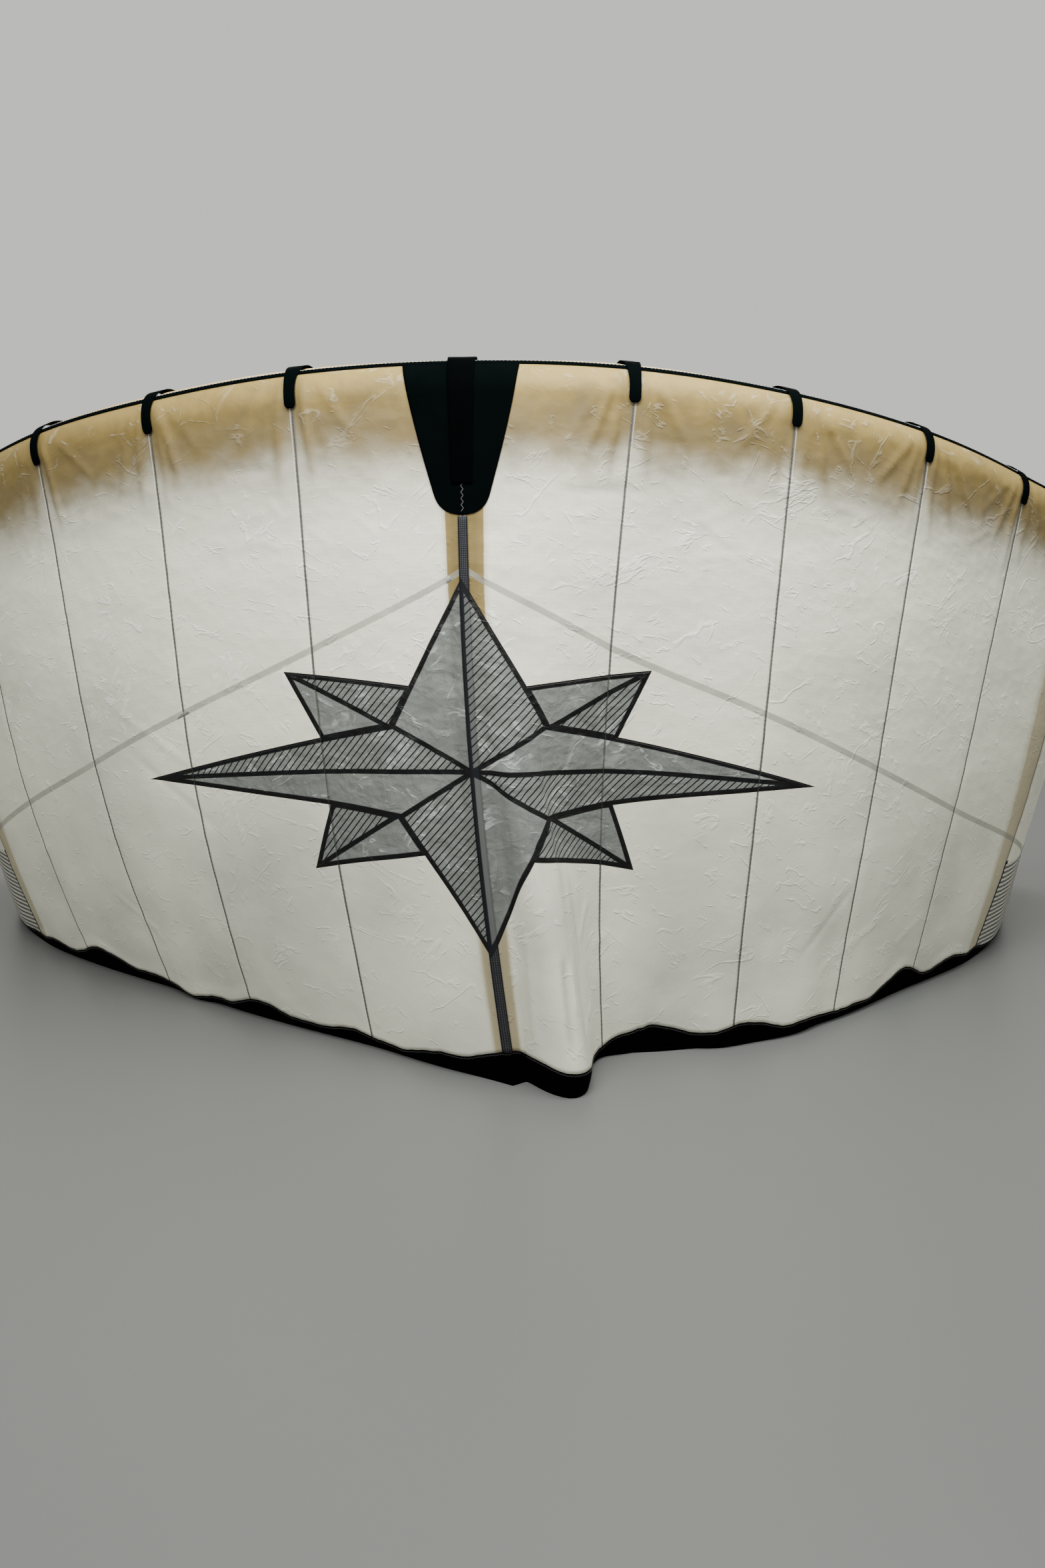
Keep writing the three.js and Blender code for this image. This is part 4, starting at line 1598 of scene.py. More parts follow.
    def _draped(self, grid: Grid) -> Array:
        """Height of the soft folds beside each seam, uneven from seam to seam.

        Args:
            grid: The places.

        Returns:
            The height.
        """
        s, a = grid.s, grid.a
        total = np.zeros_like(a)
        beside = np.round(s) * 3 + np.sign(s - np.round(s)) + 40
        for number, row in enumerate(self.drapes):
            part = (a - row.top) / (row.end - row.top)
            strength = 0.25 + 1.3 * grain(beside, 0 * s + number, 57)
            lean = 0.75 + 0.5 * grain(beside, 0 * s + number + 7, 61)
            wander = 0.012 * (grain(a * 14, beside, 63) - 0.5)
            middle = (row.gap + (row.gap_end - row.gap) * part) * lean + wander
            ends = ease(-0.15, 0.15, part) * (1 - ease(0.6, 1.1, part))
            total = total + row.height * strength * ends * bell(grid.seam - middle, row.width)
        return total

    def _creased(self, grid: Grid) -> tuple[Array, Array]:
        """Height of the creases.

        Args:
            grid: The places.

        Returns:
            The height, and the painted shade in the hollow ones.
        """
        height, hollow = np.zeros_like(grid.a), np.zeros_like(grid.a)
        for row in self.creases:
            run = np.array([row.across_end - row.across, row.down_end - row.down])
            across, down = grid.u - row.across, grid.a - row.down
            near = np.clip((across * run[0] + down * run[1]) / float(run @ run), 0, 1)
            gap = np.hypot(across - near * run[0], down - near * run[1])
            shape = bell(gap, row.width) * (1 - ease(0.5, 1.0, np.abs(2 * near - 1)))
            height = height + row.height * shape
            # Painted shade in hollow creases, deeper for deeper hollows.
            hollow = hollow + max(-row.height, 0.0) / self.darkest_depth * shape
        return height, hollow

    def _crumpled(self, grid: Grid, raised: Array) -> Array:
        """Height of crinkles, folds and puckers over the skin.

        Args:
            grid: The places.
            raised: Height of the folds and creases.

        Returns:
            The height of the cloth over the skin's own folds.
        """
        u, a, seam = grid.u, grid.a, grid.seam
        top = bell(a - 0.12, 0.34)
        fade = ease(0.0, 0.045, grid.part) * ease(0.0, 0.03, 1 - grid.part)
        fine = (ridges(u * 9 + 60, a * 11, 5) - 0.3) * (self.crinkle[0] + self.crinkle[1] * top)
        broad = (grain(u * 3.2 + 40, a * 1.6, 9) - 0.5) * self.billow * (1 - top)
        low = ease(1.0, 1.7, a) * (0.35 + 0.65 * ease(0.4, 1.2, np.abs(u)))
        sag = (grain(u * 5.5 + 80, a * 5, 19) - 0.5) * self.sag * low
        drawn = bell(seam, 0.022)
        pucker = (grain(a * 24, seam * 8 + 3, 23) - 0.5) * self.pucker * bell(seam, 0.06)
        height = (fine + broad + sag + raised) * (1 - drawn * 0.6) - self.draw * drawn + pucker
        under_patch = bell(u, 0.2, 4) * (a < 0.52)
        return height * fade * (1 - 0.85 * under_patch)

    def _shade_spot_strength(self, grid: Grid, hollow: Array) -> Array:
        """Strength of the painted shade: soft shadowed places, hollow creases and the seams just below the
        tabs.

        Args:
            grid: The places.
            hollow: Painted shade in the hollow creases.

        Returns:
            The strength.
        """
        total = hollow
        for row in self.shade_spots:
            across, down = bell(grid.u - row.across, row.half_across), bell(grid.a - row.down, row.half_down)
            total = total + row.strength * across * down
        # Painted shadow down each seam, just below its tab.
        past_tab = grid.a - TAPE_END * grid.tube.radius[..., 0] - self.tab_below
        below = ease(0.0, 0.02, past_tab + 0.02) * np.exp(-np.clip(past_tab, 0, None) / 0.06)
        return np.clip(total + 0.5 * below * bell(grid.seam, 0.011), 0, 0.8)

    def _marks(self, grid: Grid, draped: Array, painted_shade: Array) -> dict[str, Array]:
        """Vectors of each place for the material.

        Args:
            grid: The places.
            draped: Height of the soft folds beside the seams.
            painted_shade: Strength of the painted shade in soft dark places.

        Returns:
            The vectors, by attribute name.
        """
        s, a, at = grid.s, grid.a, grid.tube
        off_web = np.abs(grid.drop - SKIN.web_part(s)) * at.drop[..., 0]
        web = np.where(np.abs(s) < SKIN.web_end, off_web, 1.0)
        wrap = (a - a[0]) / (at.leave_length + at.radius[..., 0] - a[0])
        # Where the drapes beside the seams stand; the material paints shade into the tan there.
        beside = np.clip(draped / self.drape_height, 0, 1)
        outboard = (np.abs(s) % 1 < 0.5) * 1.0
        return {
            "cloth": np.stack([grid.u, a], -1),
            "marks": np.stack([grid.seam, self._struts(grid), web], -1),
            "edges": np.stack([wrap, np.abs(s), painted_shade], -1),
            "folds": np.stack([beside, SKIN.length(s) - a, outboard], -1),
        }

    def build(self) -> list[Path]:
        """Makes and dresses the panels, from the left tip to the right.

        Returns:
            Paths down the seams between two panels.
        """
        grid = self.lay_out()
        draped = self._draped(grid)
        creased, hollow = self._creased(grid)
        lift = self._crumpled(grid, draped + creased)
        marks = self._marks(grid, draped, self._shade_spot_strength(grid, hollow))
        outer = grid.base + grid.normal * (CLOTH.outer + lift)[..., None]
        inner = grid.base + grid.normal * (CLOTH.inner + lift)[..., None]
        first = 0
        for index, span in zip(PANELS, grid.spans):
            cut = np.s_[:, first : first + len(span)]
            name = panel_name(index)
            own = {title: values[cut] for title, values in marks.items()}
            piece = shell(f"canopy_{name}", outer[cut], inner[cut], own)
            dress(piece, CANOPY, Slot.CANOPY, [f"panel_{name}"])
            self._declare(grid.u[cut], grid.a[cut])
            first += len(span)
        return self._seam_paths(grid, outer)

    def _declare(self, u: Array, a: Array) -> None:
        """Works out a panel's flat area from its grid, and does nothing more with it.

        Args:
            u: Metres across of its grid.
            a: Metres down of its grid.
        """
        widths, lengths = u[:, -1] - u[:, 0], a[-1] - a[0]
        area = float(widths.mean() * lengths.mean())

    def _seam_paths(self, grid: Grid, outer: Array) -> list[Path]:
        """Paths down the seams between two panels, from below the tabs.

        Args:
            grid: The places.
            outer: Points of its outer face.

        Returns:
            The paths.
        """
        paths = []
        for i in np.cumsum([len(span) for span in grid.spans])[:-1]:
            tab_foot = TAPE_END * SKIN.column("tube", grid.s[:, i]) + 0.11
            below = grid.a[:, i] > tab_foot
            line = (outer[:, i - 1] + outer[:, i]) / 2
            paths.append((line[below], grid.normal[:, i][below]))
        return paths


@dataclass
class LeadingTube:
    """The inflated leading-edge tube, in sixteen sewn lengths with rounded ends at the tips."""

    rings: int = 44
    sides: int = 48
    pinch: float = 0.0032
    pinch_reach: float = 0.012
    pucker: float = 0.0016
    pucker_reach: float = 0.03
    inset: float = 0.0004
    gap: float = 0.0005
    end_steps: int = 6
    cloth_round: float = 0.1

    def build(self) -> None:
        """Makes and dresses the lengths of tube, from the left tip to the right."""
        for index in PANELS:
            self._length(index)

    def _radius(self, part: Array, length: float, angle: Array, base: Array) -> Array:
        """Radius drawn in at the sewn ends of a length, with short puckers beside them.

        Args:
            part: Part of the length.
            length: The length.
            angle: Turn round the tube.
            base: The tube's own radius.

        Returns:
            The radius.
        """
        gap = np.minimum(part, 1 - part) * length
        waves = 0.5 + 0.5 * np.cos(17 * angle + 3 * np.sin(5 * angle))
        drawn = self.pinch * bell(gap, self.pinch_reach)
        return base - drawn - self.pucker * waves * np.exp(-gap / self.pucker_reach) - self.inset

    def _length(self, index: int) -> None:
        """Makes one length of tube.

        Args:
            index: Number of the seam on its left.
        """
        turns = np.linspace(0, 2 * np.pi, self.sides, endpoint=False)
        angle = turns[None, :, None]
        part = np.linspace(self.gap, 1 - self.gap, self.rings)
        at = SKIN.tube_frame(index + part)
        length = float(np.linalg.norm(np.diff(at.centre, axis=0), axis=1).sum())
        radius = self._radius(part[:, None, None], length, angle, at.radius[:, None, :])
        across = at.out[:, None] * np.sin(angle) - at.down[:, None] * np.cos(angle)
        rings = at.centre[:, None] + radius * across
        ends = at.centre[[0, -1]].copy()
        along = part * length
        if index in (PANELS[0], PANELS[-1]):
            rings, ends, along = self._capped(index == PANELS[0], at, rings, ends, along)
        cloth = np.stack(np.broadcast_arrays(turns[None] * self.cloth_round, along[:, None]), -1)
        name = panel_name(index)
        piece = tube(f"tube_{name}", rings, ends, cloth)
        dress(piece, TAN, Slot.TUBE, [f"edge_tube_{name}"])

    def _capped(
        self, first: bool, at: TubeFrame, rings: Array, ends: Array, along: Array
    ) -> tuple[Array, Array, Array]:
        """Adds the rounded end of a tip.

        Args:
            first: Whether its first ring gets the end.
            at: The tube along the length.
            rings: Its rings.
            ends: Its two middle points.
            along: Metres along it of each ring.

        Returns:
            The rings, middle points and metres with the end.
        """
        row, way = (0, -1.0) if first else (-1, 1.0)
        tip, size = at.centre[row], float(at.radius[row, 0]) - self.pinch - self.inset
        reach = np.sin(np.linspace(0, np.pi / 2, self.end_steps + 2)[1:-1])
        scale = np.sqrt(1 - reach**2)[:, None, None]
        ahead = way * at.along[row]
        cap = tip + (rings[row] - tip) * scale + ahead * (size * reach)[:, None, None]
        ends[row] = tip + ahead * size
        over = size * reach
        if first:
            return np.concatenate([cap[::-1], rings]), ends, np.concatenate([-over[::-1], along])
        return np.concatenate([rings, cap]), ends, np.concatenate([along, along[-1] + over])


@dataclass
class Strut:
    """One inflated strut behind its seam, from the leading-edge tube to a flat foot on the floor."""

    size: StrutSize
    rings: int = 70
    sides: int = 40
    gap: float = 0.005
    root: float = 0.003
    first_ring: float = 0.04
    reach_back: Pair = (0.3, 1.0)
    search: Pair = (0.4, 0.002)
    beside: float = 0.2

    def _wall(self, w: Array, drop: Array, turn: Array, reach: float) -> Array:
        """The strut's wall.

        Args:
            w: Part of the way down it.
            drop: Metres down it.
            turn: Turn round it.
            reach: Share of its radius, nothing for its middle line.

        Returns:
            Its points.
        """
        size, at = self.size, float(self.size.at)
        home = SKIN.tube_frame(np.array(at))
        side, out = SKIN.foot_directions(np.array(at))
        radius = (size.top + (size.foot - size.top) * w)[..., None]
        depth = radius + self.gap + size.set_back * ease(*self.reach_back, w)[..., None]
        spine = SKIN.inner(np.full(np.shape(drop), at), float(home.leave_length) + drop)
        ring = side * np.cos(turn)[..., None] + out * np.sin(turn)[..., None]
        return spine - out * depth + ring * radius * reach

    def _root_ring(self, turns: Array, reach: float) -> Array:
        """First ring, trimmed to the leading-edge tube.

        Args:
            turns: Turns round the strut.
            reach: Share of its radius, nothing for its middle line.

        Returns:
            A point for each turn.
        """
        drops = np.arange(0, *self.search)[:, None]
        grid, turn = np.broadcast_arrays(drops, turns[None])
        points = self._wall(0 * grid, grid, turn, reach)
        near = SKIN.tube_frame(self.size.at + np.linspace(-self.beside, self.beside, 9))
        gaps = np.linalg.norm(points[:, :, None] - near.centre, axis=-1) - near.radius[:, 0]
        clear = gaps.min(axis=-1) >= self.root
        return points[clear.argmax(axis=0), np.arange(points.shape[1])]

    def build(self) -> None:
        """Makes and dresses the strut."""
        turns = np.linspace(0, 2 * np.pi, self.sides, endpoint=False)
        drop = float(SKIN.tube_frame(np.array(float(self.size.at))).drop[0])
        w = np.linspace(self.first_ring, 1, self.rings - 1)
        grid, turn = np.broadcast_arrays(w[:, None], turns[None])
        wall = self._wall(grid, grid * drop, turn, 1.0)
        rings = np.concatenate([self._root_ring(turns, 1.0)[None], wall])
        foot = self._wall(np.array([1.0]), np.array([drop]), np.array([0.0]), 0.0)
        ends = np.concatenate([self._root_ring(np.array([0.0]), 0.0), foot])
        along = np.concatenate([[0.0], w]) * drop
        cloth = np.stack(np.broadcast_arrays(turns[None] * self.size.top, along[:, None]), -1)
        piece = tube(f"strut_tube_{self.size.name}", rings, ends, cloth)
        dress(piece, TAN, Slot.TUBE, [f"strut_{self.size.name}"])


@dataclass(frozen=True)
class Cut:
    """Flat size of a sheet before it was laid, and its area where it isn't a rectangle."""

    flat: Pair
    area: float | None = None


@dataclass(frozen=True)
class Strip:
    """A strip down the skin, centred on a seam, with half its width at each part of its length."""

    name: str
    at: int
    start: float
    end: float
    half: Callable[[Array], Array]
    layer: Layer
    steps: int
    across: int


@dataclass(frozen=True)
class Run:
    """A strip over several panels, from one seam to another, with the places down the skin of its rows."""

    name: str
    first: int
    last: int
    rows: Callable[[Array], Array]
    layer: Layer
    place: Callable[[Array, Array, float], Array] = SKIN.point


@dataclass
class Trim:
    """Tapes, tabs, patch and hem band laid over the cloth."""

    patch_half: float = 0.162
    patch_length: float = 0.420
    patch_narrows: float = 0.62
    patch_bend: float = 1.25
    patch_rounds: float = 0.84
    patch_joint: float = 0.001
    cover_top: float = 0.042
    cover_foot: float = 0.029
    cover_length: float = 0.335
    cover_behind: float = 0.062
    tape_half: float = 0.013
    tape_below: float = 0.004
    tape_above: float = 0.0004
    tab_top: float = 0.027
    tab_foot: float = 0.017
    tab_narrows: Pair = (0.25, 0.8)
    tab_rounds: float = 0.94
    tab_below: float = 0.098
    tab_behind: float = 0.058
    last_tab: int = 6
    web_half: float = 0.010
    panel_steps: int = 26
    gap: float = 0.0005
    softness: float = 0.0006
    leading_rows: int = 5
    hem_parts: tuple[float, ...] = (1.0, 0.86, 0.7, 0.52, 0.34, 0.16, 0.0)
    turned_parts: tuple[float, ...] = (0.33, 0.66, 1.0)
    turned_from: float = 1e-5
    leading_cut: Cut = Cut((3.9, 0.016))
    hem_cut: Cut = Cut((3.7, 0.105), 0.33)
    patch_cut: Cut = Cut((0.324, 0.42), 0.094)
    cover_cut: Cut = Cut((0.084, 0.47), 0.034)
    tape_cut: Cut = Cut((0.026, 1.42))
    tab_cut: Cut = Cut((0.054, 0.24), 0.0096)
    web_cut: Cut = Cut((3.1, 0.020))

    def _strip(self, size: Strip) -> Piece:
        """Makes a strip down the skin.

        Args:
            size: Its place and sizes.

        Returns:
            The strip.
        """
        t = np.linspace(0, 1, size.steps + 1)
        a = size.start + (size.end - size.start) * t
        reach = size.half(t)[:, None] * np.linspace(-1, 1, size.across)
        s = size.at + reach / SKIN.width(np.full(a.shape, float(size.at)), a)[:, None]
        places = np.broadcast_to(a[:, None], s.shape)
        soft = self.softness * (grain(reach * 40 + 9, places * 26, 31 + size.at) - 0.5)
        outer = SKIN.point(s, places, size.layer.outer + soft)
        inner = SKIN.point(s, places, size.layer.inner + soft)
        return shell(size.name, outer, inner, {"cloth": np.stack([reach, places], -1)})

    def _run(self, size: Run) -> Piece:
        """Makes a strip along the leading edge or the hem.

        Args:
            size: Its place and rows.

        Returns:
            The strip.
        """
        steps = (size.last - size.first) * self.panel_steps
        s = np.linspace(size.first + self.gap, size.last - self.gap, steps + 1)
        a = size.rows(s)
        s = np.broadcast_to(s, a.shape)
        outer, inner = size.place(s, a, size.layer.outer), size.place(s, a, size.layer.inner)
        gaps = np.linalg.norm(np.diff(outer[0], axis=0), axis=-1)
        along = np.concatenate([[0.0], np.cumsum(gaps)])
        cloth = np.stack([np.broadcast_to(along, a.shape), a - a[:1]], -1)
        return shell(size.name, outer, inner, {"cloth": cloth})

    def _lay(self, piece: Piece, finish: Finish, slot: Slot, node: str) -> None:
        dress(piece, finish, slot, [node])

    def _leading_rows(self, s: Array) -> Array:
        """Rows of the leading-edge tape round the tube."""
        return np.linspace(TAPE_START, TAPE_END, self.leading_rows)[:, None] * SKIN.column("tube", s)

    def _hem_rows(self, s: Array) -> Array:
        """Rows of the hem band: down the skin, then in along the floor.

        Args:
            s: Places across.

        Returns:
            Places down, one row for each row of the band.
        """
        foot, rise, turn = SKIN.length(s), SKIN.band_rise(s), SKIN.band_turn(s)
        hung = [foot - rise * part for part in self.hem_parts]
        return np.stack(hung + [foot + turn * part for part in self.turned_parts])

    def _hem_point(self, s: Array, a: Array, lift: float) -> Array:
        """Points of the hem band, on the skin and then on the floor.

        Args:
            s: Places across.
            a: Places down, past the foot where it is turned in.
            lift: Height over the skin.

        Returns:
            The points.
        """
        over = a - SKIN.length(s)
        level = BAND.outer - lift
        _, out = SKIN.foot_directions(s)
        turned = SKIN.foot(s) - out * over[..., None]
        turned[..., 2] = level
        hung = SKIN.point(s, a, lift)
        hung[..., 2] = np.maximum(hung[..., 2], level)
        return np.where((over > self.turned_from)[..., None], turned, hung)

    def _web_rows(self, s: Array) -> Array:
        """Rows of a load tape behind the cloth.

        Args:
            s: Places across.

        Returns:
            Places down of its upper edge, middle and lower edge.
        """
        at = SKIN.tube_frame(s)
        middle = at.leave_length + SKIN.web_part(s) * at.drop[..., 0]
        return np.stack([middle - self.web_half, middle, middle + self.web_half])

    def _shield(self, t: Array) -> Array:
        """Half width of the patch, slanting in to a rounded foot.

        Args:
            t: Part of its length.

        Returns:
            The half width.
        """
        rounding = np.clip((t - self.patch_rounds) / (1 - self.patch_rounds), 0, 1)
        slant = 1 - self.patch_narrows * t**self.patch_bend
        return self.patch_half * slant * np.sqrt(1 - 0.98 * rounding**3.4)

    def _narrow(self, t: Array) -> Array:
        """Half width of the patch's cover."""
        return self.cover_top + (self.cover_foot - self.cover_top) * t

    def _even(self, t: Array) -> Array:
        """Half width of the net tape."""
        return self.tape_half + 0 * t

    def _tab_half(self, t: Array) -> Array:
        """Half width of a tab, narrowing to an end with rounded corners.

        Args:
            t: Part of its length.

        Returns:
            The half width.
        """
        rounding = np.clip((t - self.tab_rounds) / (1 - self.tab_rounds), 0, 1)
        slant = self.tab_top + (self.tab_foot - self.tab_top) * ease(*self.tab_narrows, t)
        return slant * np.sqrt(1 - 0.72 * rounding**2)

    def _edges(self) -> None:
        """Makes the tape that joins the cloth to the tube, and the band along the trailing edge."""
        for side, first, last in SIDES:
            tape = self._run(Run(f"leading_tape_{side}", first, last, self._leading_rows, TAPE))
            self._lay(tape, BLACK, Slot.BLACK, f"edge_tape_{side}")
        for side, first, last in SIDES:
            band = self._run(Run(f"hem_{side}", first, last, self._hem_rows, BAND, self._hem_point))
            self._lay(band, BAND_BLACK, Slot.BLACK, f"hem_band_{side}")

    def _centre(self) -> None:
        """Makes the shield-shaped patch, its narrow cover and the net tape below it."""
        start = SKIN.tape_foot(0)
        patch_foot = start + self.patch_length
        patch = Strip("patch", 0, start + self.patch_joint, patch_foot, self._shield, TAPE, 80, 33)
        self._lay(self._strip(patch), BLACK, Slot.BLACK, "centre_patch")
        cover_foot = start + self.cover_length
        cover = Strip("patch_cover", 0, -self.cover_behind, cover_foot, self._narrow, COVER, 60, 11)
        self._lay(self._strip(cover), COVER_BLACK, Slot.BLACK, "centre_cover")
        foot = float(SKIN.band_top(np.array(0.0))) - self.tape_above
        tape = Strip("centre_tape", 0, patch_foot + self.tape_below, foot, self._even, TAPE, 120, 5)
        self._lay(self._strip(tape), NET, Slot.SEAM_TAPE, "centre_seam_tape")

    def _tabs(self) -> None:
        """Makes the black tabs over the seams beside the centre."""
        for at in (*range(-self.last_tab, 0), *range(1, self.last_tab + 1)):
            name, end = f"tab_{seam_name(at)}", SKIN.tape_foot(at) + self.tab_below
            tab = Strip(name, at, -self.tab_behind, end, self._tab_half, COVER, 40, 9)
            self._lay(self._strip(tab), BLACK, Slot.BLACK, f"seam_{name}")

    def _webs(self) -> None:
        """Makes the load tapes on the inner face, from the centre seam towards the tips."""
        for side, first, last in (("left", -SKIN.web_end, 0), ("right", 0, SKIN.web_end)):
            web = self._run(Run(f"inner_tape_{side}", first, last, self._web_rows, WEB))
            self._lay(web, GREY, Slot.LOAD_TAPE, f"load_tape_{side}")

    def build(self) -> None:
        """Makes every trim piece."""
        self._edges()
        self._centre()
        self._tabs()
        self._webs()


@dataclass(frozen=True)
class Stitch:
    """Sizes of one row of slanted stitches."""

    pitch: float = 0.0055
    length: float = 0.0062
    width: float = 0.0009
    height: float = 0.0005
    slant: float = math.radians(38)


class ZigzagTree(Board):
    """Geometry Nodes that set slanted stitches along a path, turned to the surface that it lies on."""

    INPUTS = ("Pitch", "Length", "Width", "Height", "Slant")

    def __init__(self) -> None:
        """Makes the tree with named inputs for its sizes."""
        super().__init__(bpy.data.node_groups.new("zigzag_stitches", "GeometryNodeTree"))
        sockets = self.tree.interface
        sockets.new_socket("Path", in_out="INPUT", socket_type="NodeSocketGeometry")
        kinds = {**{title: "NodeSocketFloat" for title in self.INPUTS}, "Thread": "NodeSocketMaterial"}
        self.keys = {
            title: sockets.new_socket(title, in_out="INPUT", socket_type=kind).identifier
            for title, kind in kinds.items()
        }
        sockets.new_socket("Stitches", in_out="OUTPUT", socket_type="NodeSocketGeometry")
        self._wire()

    def _spread(self, given: Any) -> bpy.types.Node:
        """Points at even steps along the path.

        Args:
            given: The tree's input sockets.

        Returns:
            The node that makes them.
        """
        curve = self.node("GeometryNodeMeshToCurve", inputs={0: given["Path"]})
        inputs = {"Curve": curve.outputs[0], "Length": given["Pitch"]}
        return self.node("GeometryNodeResampleCurve", {"mode": "LENGTH"}, inputs)

    def _slanted(self, given: Any) -> bpy.types.Node:
        """Turn of each stitch: along the path, flat on the surface, and slanted to one side and the other.

        Args:
            given: The tree's input sockets.

        Returns:
            The node that makes it.
        """
        number = self.node("GeometryNodeInputIndex").outputs[0]
        parity = self.node("ShaderNodeMath", {"operation": "MODULO"}, {0: number, 1: 2.0})
        angle = (Wire(self, parity.outputs[0]) * 2 - 1) * given["Slant"]
        tangent = self.node("GeometryNodeInputTangent").outputs[0]
        up = self.node("GeometryNodeInputNamedAttribute", {"data_type": "FLOAT_VECTOR"}, {"Name": "up"})
        along = self.node("FunctionNodeAlignRotationToVector", {"axis": "X"}, {"Vector": tangent})
        flat = self.node(
            "FunctionNodeAlignRotationToVector",
            {"axis": "Z", "pivot_axis": "X"},
            {"Rotation": along.outputs[0], "Vector": up.outputs[0]},
        )
        turn = self.node("FunctionNodeAxisAngleToRotation", inputs={"Axis": (0, 0, 1), "Angle": angle})
        both = {0: flat.outputs[0], 1: turn.outputs[0]}
        return self.node("FunctionNodeRotateRotation", {"rotation_space": "LOCAL"}, both)

    def _wire(self) -> None:
        """Joins the nodes."""
        given = self.node("NodeGroupInput").outputs
        even, slanted = self._spread(given), self._slanted(given)
        sizes = {0: given["Length"], 1: given["Width"], 2: given["Height"]}
        size = self.node("ShaderNodeCombineXYZ", inputs=sizes)
        stitch = self.node("GeometryNodeMeshCube", inputs={"Size": size.outputs[0]})
        spread = {"Points": even.outputs[0], "Instance": stitch.outputs[0], "Rotation": slanted.outputs[0]}
        rows = self.node("GeometryNodeInstanceOnPoints", inputs=spread)
        real = self.node("GeometryNodeRealizeInstances", inputs={0: rows.outputs[0]})
        dyed = {0: real.outputs[0], "Material": given["Thread"]}
        self.node("NodeGroupOutput", inputs={0: self.node("GeometryNodeSetMaterial", inputs=dyed).outputs[0]})


@dataclass
class Stitching:
    """Zigzag stitch rows along the tapes, the hem and the panel seams."""

    steps: int = 1500
    end_gap: float = 0.01
    leading: Stitch = Stitch()
    leading_below: float = 0.002
    hem: Stitch = Stitch(width=0.0006)
    hem_below: float = 0.006
    patch: Stitch = Stitch(pitch=0.0085, length=0.0105, width=0.0016)
    patch_run: Pair = (0.337, 0.406)
    patch_steps: int = 12
    panels: Stitch = Stitch(pitch=0.0048, length=0.0052, width=0.0008)

    def __post_init__(self) -> None:
        """Makes the tree that every row uses."""
        self.tree = ZigzagTree()

    def _row(self, name: str, paths: list[Path], thread: Finish, stitch: Stitch) -> None:
        """Sews stitches along paths, as one plain mesh.

        Args:
            name: Its name.
            paths: The lines to sew.
            thread: The thread's finish.
            stitch: Their sizes.
        """
        mesh = bpy.data.meshes.new(name)
        starts = np.cumsum([0] + [len(points) for points, _ in paths])
        edges = [(i, i + 1) for a, b in zip(starts, starts[1:]) for i in range(a, b - 1)]
        mesh.from_pydata(np.concatenate([points for points, _ in paths]).tolist(), edges, [])
        up = mesh.attributes.new("up", "FLOAT_VECTOR", "POINT")
        up.data.foreach_set("vector", np.concatenate([ups for _, ups in paths]).astype(np.float32).ravel())
        piece = bpy.data.objects.new(name, mesh)
        bpy.context.scene.collection.objects.link(piece)
        modifier = piece.modifiers.new("stitches", "NODES")
        modifier.node_group = self.tree.tree
        for title in self.tree.INPUTS:
            modifier[self.tree.keys[title]] = getattr(stitch, title.lower())
        modifier[self.tree.keys["Thread"]] = thread.material()
        sewn = bpy.data.meshes.new_from_object(piece.evaluated_get(bpy.context.evaluated_depsgraph_get()))
        piece.modifiers.clear()
        piece.data = sewn
        corners = np.zeros(len(sewn.vertices) * 3)
        sewn.vertices.foreach_get("co", corners)
        cloth = sewn.attributes.new("cloth", "FLOAT_VECTOR", "POINT")
        cloth.data.foreach_set("vector", corners.astype(np.float32))
        dress(piece, thread, Slot.SEAM_TAPE, [])

    def _path(self, s: Array, a: Array, layer: Layer, stitch: Stitch) -> Path:
        """Points and outward directions of a line over the skin, half a stitch above a sheet."""
        return SKIN.point(s, a, layer.outer + stitch.height / 2), SKIN.normal(s, a)

    def build(self, seams: list[Path]) -> None:
        """Sews every row.

        Args:
            seams: Paths down the seams between two panels.
        """
        s = np.linspace(self.end_gap - HALF_PANELS, HALF_PANELS - self.end_gap, self.steps)
        under_tape = TAPE_STITCH * SKIN.column("tube", s) + self.leading_below
        leading = self._path(s, under_tape, TAPE, self.leading)
        self._row("leading_stitches", [leading], PALE_THREAD, self.leading)
        hem = self._path(s, SKIN.band_top(s) + self.hem_below, BAND, self.hem)
        self._row("hem_stitches", [hem], DARK_THREAD, self.hem)
        start, end = (SKIN.tape_foot(0) + reach for reach in self.patch_run)
        a = np.linspace(start, end, self.patch_steps)
        self._row("patch_stitches", [self._path(0 * a, a, TAPE, self.patch)], DARK_THREAD, self.patch)
        raised = [(points + ups * self.panels.height / 2, ups) for points, ups in seams]
        self._row("seam_stitches", raised, DARK_THREAD, self.panels)


@dataclass(frozen=True)
class Lamp:
    """A soft rectangular light that faces a point."""

    name: str
    place: Triple
    aim: Triple
    size: Pair
    power: float
    colour: Triple

    def build(self) -> None:
        """Makes the light."""
        data = bpy.data.lights.new(self.name, "AREA")
        data.shape, data.size, data.size_y = "RECTANGLE", *self.size
        data.energy, data.color = self.power, self.colour
        lamp = bpy.data.objects.new(self.name, data)
        lamp.location = self.place
        x, y, z = (float(a - b) for a, b in zip(self.place, self.aim))
        lamp.rotation_euler = (math.atan2(math.hypot(x, y), z), 0, math.atan2(x, -y))
        bpy.context.scene.collection.objects.link(lamp)


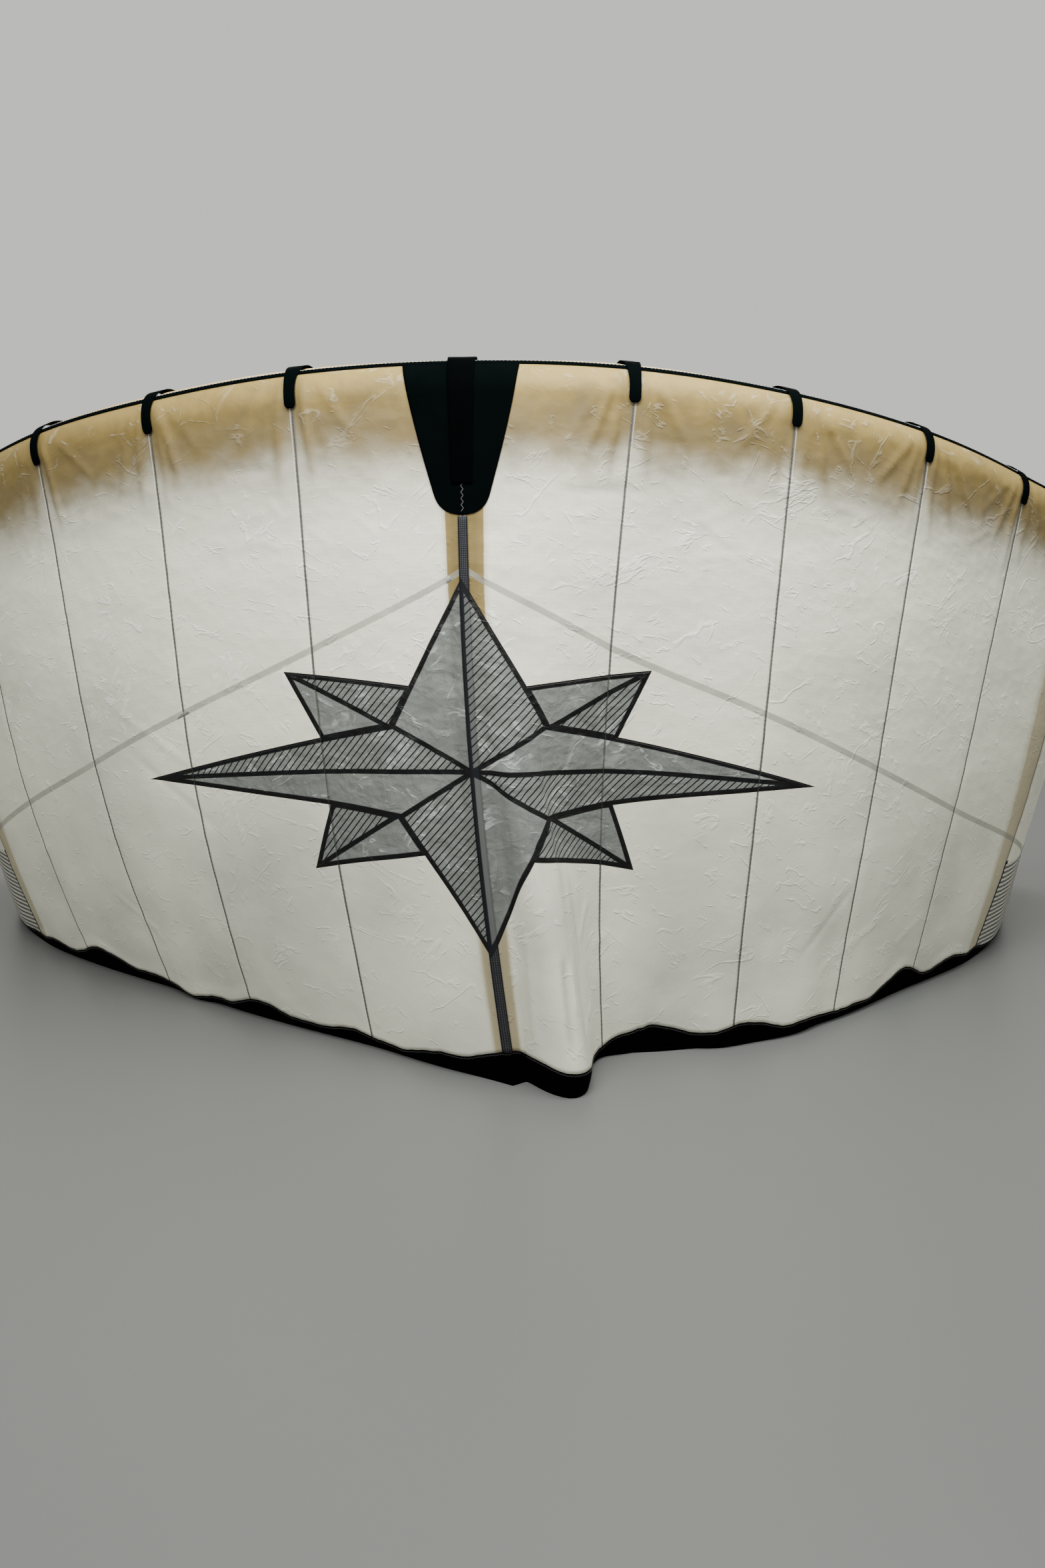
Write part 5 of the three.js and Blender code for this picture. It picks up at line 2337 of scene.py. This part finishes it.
@dataclass
class Studio:
    """Pale floor, soft light and the camera at the photograph's angle."""

    eye: Triple = (0.05, -4.37, 1.50)
    pitch: float = math.radians(10.54)
    lens: float = 26.0
    sensor: float = 36.0
    floor_half: float = 30.0
    floor_below: float = 0.0006
    floor_colour: Colour = (0.145, 0.150, 0.146, 1.0)
    floor_roughness: float = 0.42
    sky: Colour = (0.80, 0.80, 0.76, 1.0)
    sky_strength: float = 0.93
    lamps: tuple[Lamp, ...] = (
        Lamp("front", (-1.2, -4.2, 3.4), (0.0, -0.6, 1.2), (3.0, 1.6), 80, (1.0, 0.99, 0.95)),
        Lamp("over", (0.4, -1.9, 3.3), (0.0, -0.9, 1.3), (3.6, 0.9), 150, (1.0, 1.0, 0.97)),
        Lamp("behind", (0.0, 2.6, 3.2), (0.0, 0.2, 1.2), (4.0, 2.0), 85, (1.0, 1.0, 0.97)),
    )

    def _camera(self) -> None:
        """Makes the camera."""
        data = bpy.data.cameras.new("camera")
        data.lens, data.sensor_width, data.clip_end = self.lens, self.sensor, 100.0
        eye = bpy.data.objects.new("camera", data)
        eye.location = self.eye
        eye.rotation_euler = (math.pi / 2 - self.pitch, 0, 0)
        bpy.context.scene.collection.objects.link(eye)
        bpy.context.scene.camera = eye

    def _floor(self) -> None:
        """Makes the floor."""
        mesh = bpy.data.meshes.new("floor")
        reach, level = self.floor_half, -self.floor_below
        corners = [(x * reach, y * reach, level) for x, y in ((-1, -1), (1, -1), (1, 1), (-1, 1))]
        mesh.from_pydata(corners, [], [(0, 1, 2, 3)])
        board = bpy.data.objects.new("floor", mesh)
        bpy.context.scene.collection.objects.link(board)
        paint = Paint("floor")
        paint.shader.inputs["Base Color"].default_value = self.floor_colour
        paint.shader.inputs["Roughness"].default_value = self.floor_roughness
        mesh.materials.append(paint.made)

    def _sky(self) -> None:
        """Makes the pale light all round."""
        world = bpy.data.worlds.new("studio")
        world.use_nodes = True
        back = next(n for n in world.node_tree.nodes if n.type == "BACKGROUND")
        back.inputs["Color"].default_value = self.sky
        back.inputs["Strength"].default_value = self.sky_strength
        bpy.context.scene.world = world

    def build(self) -> None:
        """Makes the camera, the floor, the sky and the lights."""
        self._camera()
        self._floor()
        self._sky()
        for lamp in self.lamps:
            lamp.build()


def main() -> None:
    """Builds the sub-assemblies in order."""
    logging.basicConfig(level=logging.INFO, format="%(message)s")
    Studio().build()
    seams = Canopy().build()
    LeadingTube().build()
    for size in STRUTS:
        Strut(size).build()
    Trim().build()
    Stitching().build(seams)


if __name__ == "__main__":
    main()
